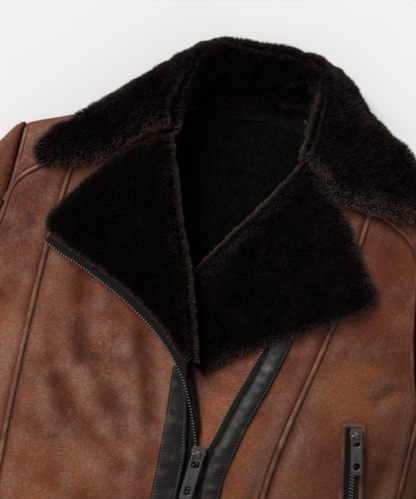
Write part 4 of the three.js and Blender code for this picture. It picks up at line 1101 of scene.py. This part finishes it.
def sleeve(side):
    """Upper and under half of one sleeve, each a wall inside its outer face."""
    for half, up in (("upper", True), ("under", False)):
        grid = sleeve_face(side, up)
        x, y, z = np.moveaxis(grid, -1, 0)
        on_rim = np.abs(z - EDGE_Z) < RIM_BAND
        out = upward(grid_normals(grid)) * (1 if up else -1)
        out[..., 2] = np.where(on_rim, 0, out[..., 2])
        out = unit(out)
        out[:END_ROWS] = out[END_ROWS]
        gap = np.min(border_gap(grid), axis=0)
        low = np.zeros_like(x)
        if up:
            low = relief(-np.abs(x), y, SLEEVE_FOLDS) * ease(gap / 14)
        grid[..., 2] = np.where(on_rim, EDGE_Z + (SEAM_HALF_GAP if up else -SEAM_HALF_GAP), z)
        outer = grid + out * low[..., None]
        inner = outer - out * BODY_WALL
        piece = wall(f"sleeve_{half}_{side}_shell", outer, inner, [LEATHER, GROUND])
        note_painted_shade_and_wear(piece, -np.abs(x), y, SLEEVE_FOLDS if up else (), border_gap(grid)[2])
        place(piece, [f"sleeve_{half}_{side}"])


# Seams, bands and tapes

BAND_ROWS = {
    "left": [(-12.2, -190.5, -10.9, -191.6), (-11.4, -198, 0.6, -204.5), (-10.9, -211, 5, -212),
             (-9.7, -226, 9.6, -230), (-8.4, -251, 14, -254), (-7.6, -275, 17.6, -277),
             (-7, -302, 18, -302), (-7.5, -400, 18, -400), (-8, -514, 18, -514)],
    "right": [(78.6, -151.5, 101.5, -138.5), (68.5, -190, 90, -184), (57.9, -222, 75, -231),
              (46.6, -260, 66.5, -267), (41, -284, 61.5, -292), (41, -320, 61, -320), (41, -420, 61, -420),
              (41, -514, 61, -514)],
}
TAPE_ROWS = {
    "left": [(5, -210, 5.8, -209.7), (11.2, -228, 13.6, -227), (15.5, -250, 22.4, -250),
             (18, -266, 26.6, -265), (19.4, -279, 29.2, -279), (19.4, -320, 29.6, -320),
             (19.4, -514, 29.6, -514)],
    "right": [(73.4, -154.5, 77.8, -152), (61, -194, 68, -190), (53, -218, 57.3, -222),
              (41.5, -260, 46, -260), (31, -281, 40.4, -284), (30.2, -320, 40.4, -320),
              (30.2, -514, 40.4, -514)],
}
# How far each band's outer edge laps over, its ridge as place across, half width and rise, and the lift and
# reach of the stitches along each of its edges
BAND_OVERHANG = {"left": 1.6, "right": 0}
BAND_RIDGE = {"left": (0.93, 0.035, 0.6), "right": (0.07, 0.035, 0.9)}
BAND_STITCHES = {"left": [(2.85, -2.2), (3.1, 3.4)], "right": [(3.15, -3.6), (2.85, 2.2)]}
TAPE_LIFT = {"left": -3.4, "right": 0.6}
# The zip's toothed edge on the turned-back left front, from the tip of the lapel to the break
TURNED_ZIP = [(-163, -96), (-146, -104), (-124, -112.5), (-101, -123), (-78, -134.5), (-55, -148.6),
              (-37, -161.5), (-20, -177), (-9, -190)]
# The same zip from the break point down the front's edge to the slider: plan point and lift over the front
EDGE_ZIP = [((-2, -199), 4.2), ((4.2, -208.5), 3.2), ((12.8, -227), 1.2), ((22, -250), -1.4),
            ((27.2, -266), -2.2)]
BAND_LIFT = 0.6
BAND_THICKNESS = 1.7
BAND_PUCKER = 0.55
BAND_DOME = 1.7
TAPE_THICKNESS = 1.2
TURNED_STEPS = 66
CORD_STEPS = 56
STITCH_PITCH = 3.2
STITCH_LENGTH = 2.1
STITCH_RADIUS = 0.48
SEWN = {"brown": [], "black": []}


def sideways(line):
    """Unit steps to the right of a plan line, square to it."""
    ahead = unit(np.gradient(line, axis=0))
    return np.stack([ahead[:, 1], -ahead[:, 0]], -1)


def lay(plan, height, lift):
    """Plan points put on a height field, with a lift."""
    return np.concatenate([plan, (height(plan[..., 0], plan[..., 1]) + lift)[..., None]], -1)


def sew(colour, line, height, lift, reach):
    """Notes a row of stitches beside a plan line, at a reach to its right."""
    SEWN[colour].append(lay(line + sideways(line) * reach, height, lift))


def welt(name, line, height, reach, node, crown_rise=2.1):
    """A raised seam: a strip with a rounded top over a plan line, between two distances to its right."""
    line = evenly(line, int(length_of(line) / 3))
    s = np.linspace(-1, 1, 11)
    middle, half = sum(reach) / 2, (reach[1] - reach[0]) / 2
    plan = line[:, None] + sideways(line)[:, None] * (middle + half * s)[None, :, None]
    uneven = 1 + 0.16 * wander(plan[..., 0], plan[..., 1], 9, 12)
    arch = crown_rise * (1 - np.abs(s) ** 3) ** 0.7
    top = lay(plan, height, -0.4) + np.stack([0 * s, 0 * s, arch], -1) * uneven[..., None]
    floor = lay(plan[:, ::-1][:, [0, 5, 10]], height, -2.2)
    return place(loft(name, np.concatenate([top, floor], 1), [SEAM_LEATHER]), [node])


def ribbon(name, rows, height, lift, thick, looks, nodes=(), ridge=None, pucker=0.0, dome=0.0):
    """A strip between two plan lines with rounded long edges. A ridge is (place across, half width, rise),
    puckers are small uneven pulls, and a dome is how much its middle stands up."""
    rows = np.array(rows, float)
    steps = int(length_of(rows[:, :2]) / 2.5)
    left, right = evenly(rows[:, :2], steps), evenly(rows[:, 2:], steps)
    t = np.array([0, 0.03, 0.09, 0.2, 0.35, 0.5, 0.65, 0.8, 0.91, 0.97, 1])
    if ridge:
        t = np.unique(np.concatenate([t, ridge[0] + ridge[1] * np.linspace(-1.5, 1.5, 7)]))
        t = t[(t >= 0) & (t <= 1)]
    plan = left[:, None] * (1 - t[None, :, None]) + right[:, None] * t[None, :, None]
    rise = thick * (0.45 + 0.55 * rounded(np.minimum(t, 1 - t), 0.12))[None] * np.ones((steps + 1, 1))
    if ridge:
        rise = rise + ridge[2] * np.exp(-(((t - ridge[0]) / ridge[1]) ** 2))[None]
    rise = rise + dome * 4 * (t * (1 - t))[None]
    rise = rise + pucker * wander(plan[..., 0], plan[..., 1], 5.5, 14) * np.sin(math.pi * t)[None]
    top = lay(plan, height, lift)
    top[..., 2] += rise
    floor = lay(plan[:, ::-1], height, lift)
    place(loft(name, np.concatenate([top, floor], 1), looks), nodes)
    return left, right


def seam_welts(side):
    """The raised seams of one side and the rows of stitches beside them."""
    s = SEAMS[side]
    sign = SIGN[side]
    armhole = evenly(join(s["arm_upper"], s["arm_middle"]), 100)[3:98]
    # Plan line, reach to its right, and the side on which its stitches lie
    lines = {
        "princess": (s["princess"], (-2.7, 2.7), 4.6),
        "yoke": (s["yoke_outer"][:38], (-2.5, 2.5), 4.2),
        "armhole": (armhole, (-6, -1.5) if side == "left" else (1.5, 6), None),
        "side_front": (s["seam_b"], (-2.7, 2.7), -4.4 * sign),
    }
    for part, (line, reach, stitch) in lines.items():
        welt(f"{part}_welt_{side}", line, front_height, reach, f"seam_{part}_{side}")
        if stitch is not None:
            sew("brown", line, front_height, -0.45, -stitch if side == "left" else stitch)


def teeth(name, line, pitch=3.0, turn=1.0, size=0.85):
    """Metal teeth along a 3-D line, one each pitch. Each is a small block that narrows to a rounded head,
    and its head points to the line's right, or to its left where turn is -1."""
    at = evenly(line, int(length_of(line) / pitch))
    plan = at[:, :2]
    right = sideways(plan) * turn
    ahead = np.stack([-right[:, 1], right[:, 0]], -1)
    outline = [(-1.6, 0.7), (0.3, 0.66), (1.3, 0.42), (1.3, -0.42), (0.3, -0.66), (-1.6, -0.7)]
    foot = np.array(outline) * size
    low = np.concatenate([foot, foot * 0.82])
    levels = np.repeat([0.0, 1.75 * size], 6)
    corners = at[:, None, :2] + right[:, None] * low[None, :, :1] + ahead[:, None] * low[None, :, 1:]
    heights = at[:, None, 2] + levels[None]
    points = np.concatenate([corners, heights[..., None]], -1)
    ring = np.arange(6)
    ahead_ring = np.roll(ring, -1)
    sides = np.concatenate([np.stack([ring, ahead_ring, ahead_ring + 6], -1),
                            np.stack([ring, ahead_ring + 6, ring + 6], -1)])
    cap = np.array([(6, 7, 8), (6, 8, 9), (6, 9, 10), (6, 10, 11)])
    faces = outward(points[0], np.concatenate([sides, cap, cap[:, ::-1] - 6]))
    every = copies(faces, 12, len(at))
    return place(make_mesh(name, points.reshape(-1, 3), every, [TEETH_METAL], sharp=25))


def stitches(name, lines, look):
    """Short spindles of thread, one each pitch along each line: two rings of five points and a point at
    each end."""
    place_rows, ways = [], []
    for line in lines:
        at = evenly(line, int(length_of(line) / STITCH_PITCH))
        place_rows.append(at)
        ways.append(unit(np.gradient(at, axis=0)))
    at, way = np.concatenate(place_rows), np.concatenate(ways)
    side = np.cross(way, [0, 0, 1.0])
    up = np.cross(side, way)
    angle = np.linspace(0, 2 * math.pi, 5, endpoint=False)
    wide, tall = np.cos(angle)[None, :, None], 0.7 * np.sin(angle)[None, :, None]
    ring = (wide * side[:, None] + tall * up[:, None]) * STITCH_RADIUS
    half = way[:, None] * STITCH_LENGTH / 2
    middle = at[:, None]
    points = np.concatenate([middle - 0.6 * half + ring, middle + 0.6 * half + ring,
                             middle - half - 0.25 * up[:, None], middle + half - 0.25 * up[:, None]], 1)
    k = np.arange(5)
    n = np.roll(k, -1)
    faces = np.concatenate([np.stack([k, n, n + 5], -1), np.stack([k, n + 5, k + 5], -1),
                            np.stack([n, k, 0 * k + 10], -1), np.stack([k + 5, n + 5, 0 * k + 11], -1)])
    every = copies(outward(points[0], faces), 12, len(at))
    return place(make_mesh(name, points.reshape(-1, 3), every, [look], sharp=180))


def main_zip():
    """Bands, tapes and teeth of the zip that crosses the front."""
    for side, height in HEIGHT.items():
        rows = np.array(BAND_ROWS[side], float) + [0, 0, BAND_OVERHANG[side], 0]
        edges = ribbon(f"band_{side}_strip", rows, height, BAND_LIFT, BAND_THICKNESS, [BLACK_LEATHER],
                       [f"band_{side}"], ridge=BAND_RIDGE[side], pucker=BAND_PUCKER, dome=BAND_DOME)
        for edge, (lift, reach) in zip(edges, BAND_STITCHES[side]):
            sew("black", edge[3:], height, lift, reach)
    for side, height in HEIGHT.items():
        ribbon(f"zip_tape_{side}_strip", TAPE_ROWS[side], height, TAPE_LIFT[side], TAPE_THICKNESS, [TAPE],
               [f"zip_tape_{side}"])
    turned = curve([*TURNED_ZIP, *[p for p, _ in EDGE_ZIP[:2]]], np.linspace(0, 1, TURNED_STEPS))
    to_right = sideways(turned)
    width = 8.0 - 6.5 * ease((np.linspace(0, 1, TURNED_STEPS)[:, None] - 0.82) / 0.18)
    rows = np.concatenate([turned - to_right * (0.4 + width), turned - to_right * 0.4], 1)
    ribbon("zip_tape_turned_strip", rows, front_height, 3.2, TAPE_THICKNESS, [TAPE], ["zip_tape_turned"])
    cord = np.concatenate([turned - to_right * 8.9, turned - to_right * 7.5], 1)[:CORD_STEPS]
    ribbon("turned_edge_cord", cord, front_height, 4.2, 1.1, [BLACK_LEATHER])
    lifted = [lay(np.array([p]), front_height, lift)[0] for p, lift in
              [*[(p, 4.0) for p in TURNED_ZIP], *EDGE_ZIP]]
    teeth("zip_teeth_open_left", np.array(lifted), turn=1.0)
    lines = {
        "zip_teeth_open_right": ([(72, -157), (60, -194), (52, -218), (41.2, -255), (36, -266)],
                                 right_height, 1.2),
        "zip_teeth_closed_left": ([(28.6, -284), (28.6, -512)], front_height, -2.4),
        "zip_teeth_closed_right": ([(31.2, -282.2), (31.2, -510.2)], front_height, -2.4),
    }
    for name, (line, height, lift) in lines.items():
        plan = evenly(np.array(line, float), 60)
        teeth(name, lay(plan, height, lift), turn=-1.0 if name.endswith("closed_left") else 1.0)


def edge_pile():
    """Pile that shows along the left front's edge, from the foot of its lapel to the slider, narrowing
    downwards."""
    plan = curve([TURNED_ZIP[-1], *[p for p, _ in EDGE_ZIP]], np.linspace(0, 1, 40))
    lift = curve([(4.0, 0), *[(rise, 0) for _, rise in EDGE_ZIP]], np.linspace(0, 1, 40))[:, 0]
    width = 11 - 9.5 * np.linspace(0, 1, 40) ** 0.8
    foot = plan - sideways(plan) * width[:, None]
    near = lay(plan, front_height, 0)
    near[:, 2] += lift - 1.6
    far = lay(foot, right_height, 3.0)
    t = np.linspace(0, 1, 8)[None, :, None]
    top = near[:, None] * (1 - t) + far[:, None] * t
    out = upward(grid_normals(top))
    place(wall("front_edge_fold", top, top - 2.0 * out, [GROUND]))
    hairs("front_edge_pile", top, out, "front edge", comb_of(top, 0.3, 0.3), 160)


# Chest pocket

POCKET = {"x": 177, "y": -210, "yaw": 9.5, "length": 132, "width": 25, "welt": 5.5}


def on_pocket(plan, lift):
    """Plan points drawn along the pocket's own axis from its top end, turned and laid on the front."""
    yaw = math.radians(POCKET["yaw"])
    turned = plan @ np.array([[math.cos(yaw), math.sin(yaw)], [-math.sin(yaw), math.cos(yaw)]])
    return lay(turned + [POCKET["x"], POCKET["y"]], front_height, lift)


def rounded_frame(inset, radius):
    """Points round the pocket's rectangle, drawn in by an inset, with rounded corners and closely set long
    sides."""
    half, end = POCKET["width"] / 2 - inset, POCKET["length"] / 2 - inset
    radius = max(radius - inset, 0.6)
    turn = np.linspace(0, math.pi / 2, 6)
    corners = []
    for k, (sx, sy) in enumerate([(1, 1), (-1, 1), (-1, -1), (1, -1)]):
        angle = turn + k * math.pi / 2
        corners.append(np.stack([sx * (half - radius) + radius * np.cos(angle),
                                 sy * (end - radius) + radius * np.sin(angle)], -1))
    rows = []
    for k, corner in enumerate(corners):
        following = corners[(k + 1) % 4][0]
        steps = 5 if k % 2 == 0 else 40
        rows += [corner, line_between(corner[-1], following, steps)[1:-1]]
    return np.concatenate(rows) - [0, POCKET["length"] / 2]


def pocket():
    """A welted slot: a raised rim with rolled edges, two tapes that meet under a row of teeth, and its
    stitching."""
    across = [(0, 0.0), (0.25, 1.1), (1.1, 2.1), (2.75, 2.5), (4.4, 2.1), (5.2, 1.1), (5.45, 0.0),
              (5.2, -0.6), (0.3, -0.6)]
    loops = np.stack([on_pocket(rounded_frame(inset, 3.0), 0.8 + rise) for inset, rise in across], 1)
    count, size = loops.shape[:2]
    ids = np.arange(count * size).reshape(count, size)
    ahead, over = np.roll(ids, -1, 0), np.roll(ids, -1, 1)
    both = np.roll(ahead, -1, 1)
    faces = np.stack([ids, ahead, both, over], -1).reshape(-1, 4)
    points = loops.reshape(-1, 3)
    place(make_mesh("pocket_rim", points, outward(points, faces), [SEAM_LEATHER]), ["pocket_welt"])
    half, end = POCKET["width"] / 2 - POCKET["welt"] - 0.6, POCKET["length"] - 6.2
    x, y = np.meshgrid(np.linspace(-half, half, 17), np.linspace(-6.2, -end, 50))
    valley = 0.9 * np.clip(np.abs(x) / half, 0, 1) ** 2
    outer = on_pocket(np.stack([x, y], -1), 0.9 + valley)
    inner = on_pocket(np.stack([x, y], -1), 0.3)
    place(wall("pocket_tape_strip", outer, inner, [TAPE]), ["pocket_tape"])
    for part, x, turn in (("left", -0.9, -1.0), ("right", 0.9, 1.0)):
        start = -19 if part == "left" else -20.6
        line = on_pocket(evenly(np.array([(x, start), (x, -end + 2)]), 40), 1.2)
        teeth(f"pocket_teeth_{part}", line, pitch=3.2, turn=turn, size=0.78)
    ring = rounded_frame(-2.2, 4.0)
    SEWN["brown"].append(on_pocket(np.concatenate([ring, ring[:1]]), 0.1))


# Metal and small pieces

PULL_THICKNESS = 2
PULL_ROUNDING = 0.5
PULL_BAR = 1.1
MAIN_PULL = {"half": 6.3, "length": 48, "slot": 8, "slot_end": 13.5,
             "hole_from": 33, "hole_to": 42, "hole": 6, "axis_rise": 7.8}
CHEST_PULL = {"half": 5.8, "length": 39, "slot": 7, "slot_end": 10.5,
              "hole_from": 27, "hole_to": 34, "hole": 6, "axis_rise": 10.2}


def bevelled(name, node, look, body, width=0.35):
    """A copy of a CAD piece with its edges broken by a small bevel, so that they catch the light."""
    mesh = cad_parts[node].data.copy()
    shape = bmesh.new()
    shape.from_mesh(mesh)
    bmesh.ops.remove_doubles(shape, verts=shape.verts, dist=1e-5)
    shape.to_mesh(mesh)
    shape.free()
    mesh.materials.clear()
    mesh.materials.append(look)
    piece = in_scene(name, mesh)
    edge = piece.modifiers.new("broken_edges", "BEVEL")
    edge.width = width * MM
    edge.segments = 2
    edge.limit_method = "ANGLE"
    edge.angle_limit = math.radians(35)
    return place(piece, [node], body)


def rounded_outline(half, top, bottom, radius, steps=6):
    """Plan points round a plate or a hole with rounded corners, from its half width and its two ends."""
    radius = min(radius, half, (top - bottom) / 2)
    turn = np.linspace(0, math.pi / 2, steps)
    side = half - radius
    corners = [(side, top - radius), (-side, top - radius), (-side, bottom + radius), (side, bottom + radius)]
    return [(x + radius * math.cos(a + k * math.pi / 2), y + radius * math.sin(a + k * math.pi / 2))
            for k, (x, y) in enumerate(corners) for a in turn]


def pull_tab(name, node, body, pull, at, yaw):
    """A pull's plate with its bail slot and its hole, rounded along every edge, lying on the axis of its
    bar."""
    drawing = bpy.data.curves.new(name, "CURVE")
    drawing.dimensions = "2D"
    drawing.fill_mode = "BOTH"
    drawing.extrude = (PULL_THICKNESS / 2 - PULL_ROUNDING) * MM
    drawing.bevel_depth = PULL_ROUNDING * MM
    drawing.offset = -PULL_ROUNDING * MM
    drawing.bevel_resolution = 3
    outlines = [rounded_outline(pull["half"], PULL_BAR, -pull["length"], 3.2),
                rounded_outline(pull["slot"] / 2, -PULL_BAR, -pull["slot_end"], 1.6),
                rounded_outline(pull["hole"] / 2, -pull["hole_from"], -pull["hole_to"], 2.2)]
    for outline in outlines:
        spline = drawing.splines.new("POLY")
        spline.points.add(len(outline) - 1)
        spline.points.foreach_set("co", [value * MM for x, y in outline for value in (x, y, 0, 1000)])
        spline.use_cyclic_u = True
    holder = bpy.data.objects.new(name, drawing)
    mesh = bpy.data.meshes.new_from_object(holder)
    bpy.data.objects.remove(holder)
    x, y = at
    z = HEIGHT["left"](np.array(x), np.array(y)) + pull["axis_rise"]
    middle = Matrix.Translation(Vector((x, y - ORIGIN_Y, float(z))) * MM)
    mesh.transform(middle @ Matrix.Rotation(math.radians(yaw), 4, "Z"))
    mesh.materials.append(METAL)
    built = bmesh.new()
    built.from_mesh(mesh)
    bmesh.ops.remove_doubles(built, verts=built.verts, dist=1e-6)
    bmesh.ops.recalc_face_normals(built, faces=built.faces)
    built.to_mesh(mesh)
    built.free()
    for face in mesh.polygons:
        face.use_smooth = True
    mesh.set_sharp_from_angle(angle=math.radians(40))
    return place(in_scene(name, mesh), [node], body)


def neck_lining():
    """Lining between the back's neck edge and the foot of the collar, with the seam they share."""
    _, skin = collar_skin()
    first, last = int(len(skin) * 0.12), int(len(skin) * 0.88)
    foot = thinned(skin[first:last, 0], 60)
    low = evenly([(-57, 68), (-48, 71), (-22, 76.5), (16, 81.5), (48, 82.5), (66, 79), (74, 68)], 60)
    low = lay(low, back_height, BACK_WALL - 0.5)
    t = np.linspace(0, 1, 8)[None, :, None]
    top = low[:, None] * (1 - t) + foot[:, None] * t
    out = upward(grid_normals(top))
    place(wall("neck_lining", top, top - 1.6 * out, [GROUND]))
    hairs("neck_lining_pile", top, out, "neck", comb_of(top, -0.3), 140)


def hanger():
    """The short loop that the jacket hangs by, sewn down at both ends of a flat bar of leather."""
    ribbon("hanger_strip", [(-6, 64.5, -6, 69.5), (12, 67, 12, 72), (30, 69.5, 30, 74.5)],
           lambda x, y: back_height(x, y) + BACK_WALL, 0.6, 1.5, [GROUND], ["hanger_loop"])


for name in SIGN:
    sleeve(name)
    seam_welts(name)
main_zip()
edge_pile()
pocket()
neck_lining()
hanger()
bevelled("main_slider", "zip_slider", METAL, "jacket", 0.6)
pull_tab("main_pull_tab", "zip_pull", "main_pull", MAIN_PULL, (31, -272), -5)
bevelled("chest_slider", "pocket_slider", METAL, "jacket", 0.6)
pull_tab("chest_pull_tab", "pocket_pull", "chest_pull", CHEST_PULL, (181, -221), 12)
stitches("brown_stitching", SEWN["brown"], BROWN_THREAD)
stitches("black_stitching", SEWN["black"], BLACK_THREAD)


# Camera, floor and light

TILT = math.radians(12)
AIM = Vector((-0.0019, 0.1371, 0.05))
CAMERA_RISE = 1.9
FRAME_WIDTH = 0.416


def camera():
    """Looks straight down, with the jacket turned twelve degrees in the frame."""
    lens = bpy.data.cameras.new("camera")
    lens.sensor_fit = "HORIZONTAL"
    lens.lens = lens.sensor_width * CAMERA_RISE / FRAME_WIDTH
    lens.clip_end = 20
    eye = in_scene("camera", lens)
    eye.matrix_world = Matrix.Translation(AIM + Vector((0, 0, CAMERA_RISE))) @ Matrix.Rotation(TILT, 4, "Z")
    bpy.context.scene.camera = eye


def sun_light(name, coming_from, spread, strength):
    """A wide soft light from far away, so that floor and jacket are lit evenly."""
    lamp = bpy.data.lights.new(name, "SUN")
    lamp.angle = math.radians(spread)
    lamp.energy = strength
    holder = in_scene(name, lamp)
    holder.rotation_euler = (-Vector(coming_from)).to_track_quat("-Z", "Y").to_euler()


def floor():
    """A plain pale floor, with a faint unevenness."""
    half = 3.0
    mesh = bpy.data.meshes.new("floor")
    corners = [(-half, -half, 0), (half, -half, 0), (half, half, 0), (-half, half, 0)]
    mesh.from_pydata(corners, [], [(0, 1, 2, 3)])
    look, tree, shader, where = new_material("pale_floor", Roughness=0.9)
    tree.links.new(ramp(tree, noise(tree, where, 3), [(0.3, 0.84), (0.7, 0.86)]), shader.inputs["Base Color"])
    mesh.materials.append(look)
    in_scene("floor", mesh)


def studio():
    """A pale even surround and two suns."""
    world = bpy.data.worlds.new("studio")
    world.use_nodes = True
    world.node_tree.nodes["Background"].inputs["Color"].default_value = (1, 1, 1, 1)
    world.node_tree.nodes["Background"].inputs["Strength"].default_value = 0.28
    bpy.context.scene.world = world
    bpy.context.scene.view_settings.view_transform = "Standard"
    sun_light("key_light", (-0.85, 0.95, 0.9), 32, 3.1)
    sun_light("soft_box", (-0.5, 0.3, 1.0), 14, 0.66)


camera()
floor()
studio()
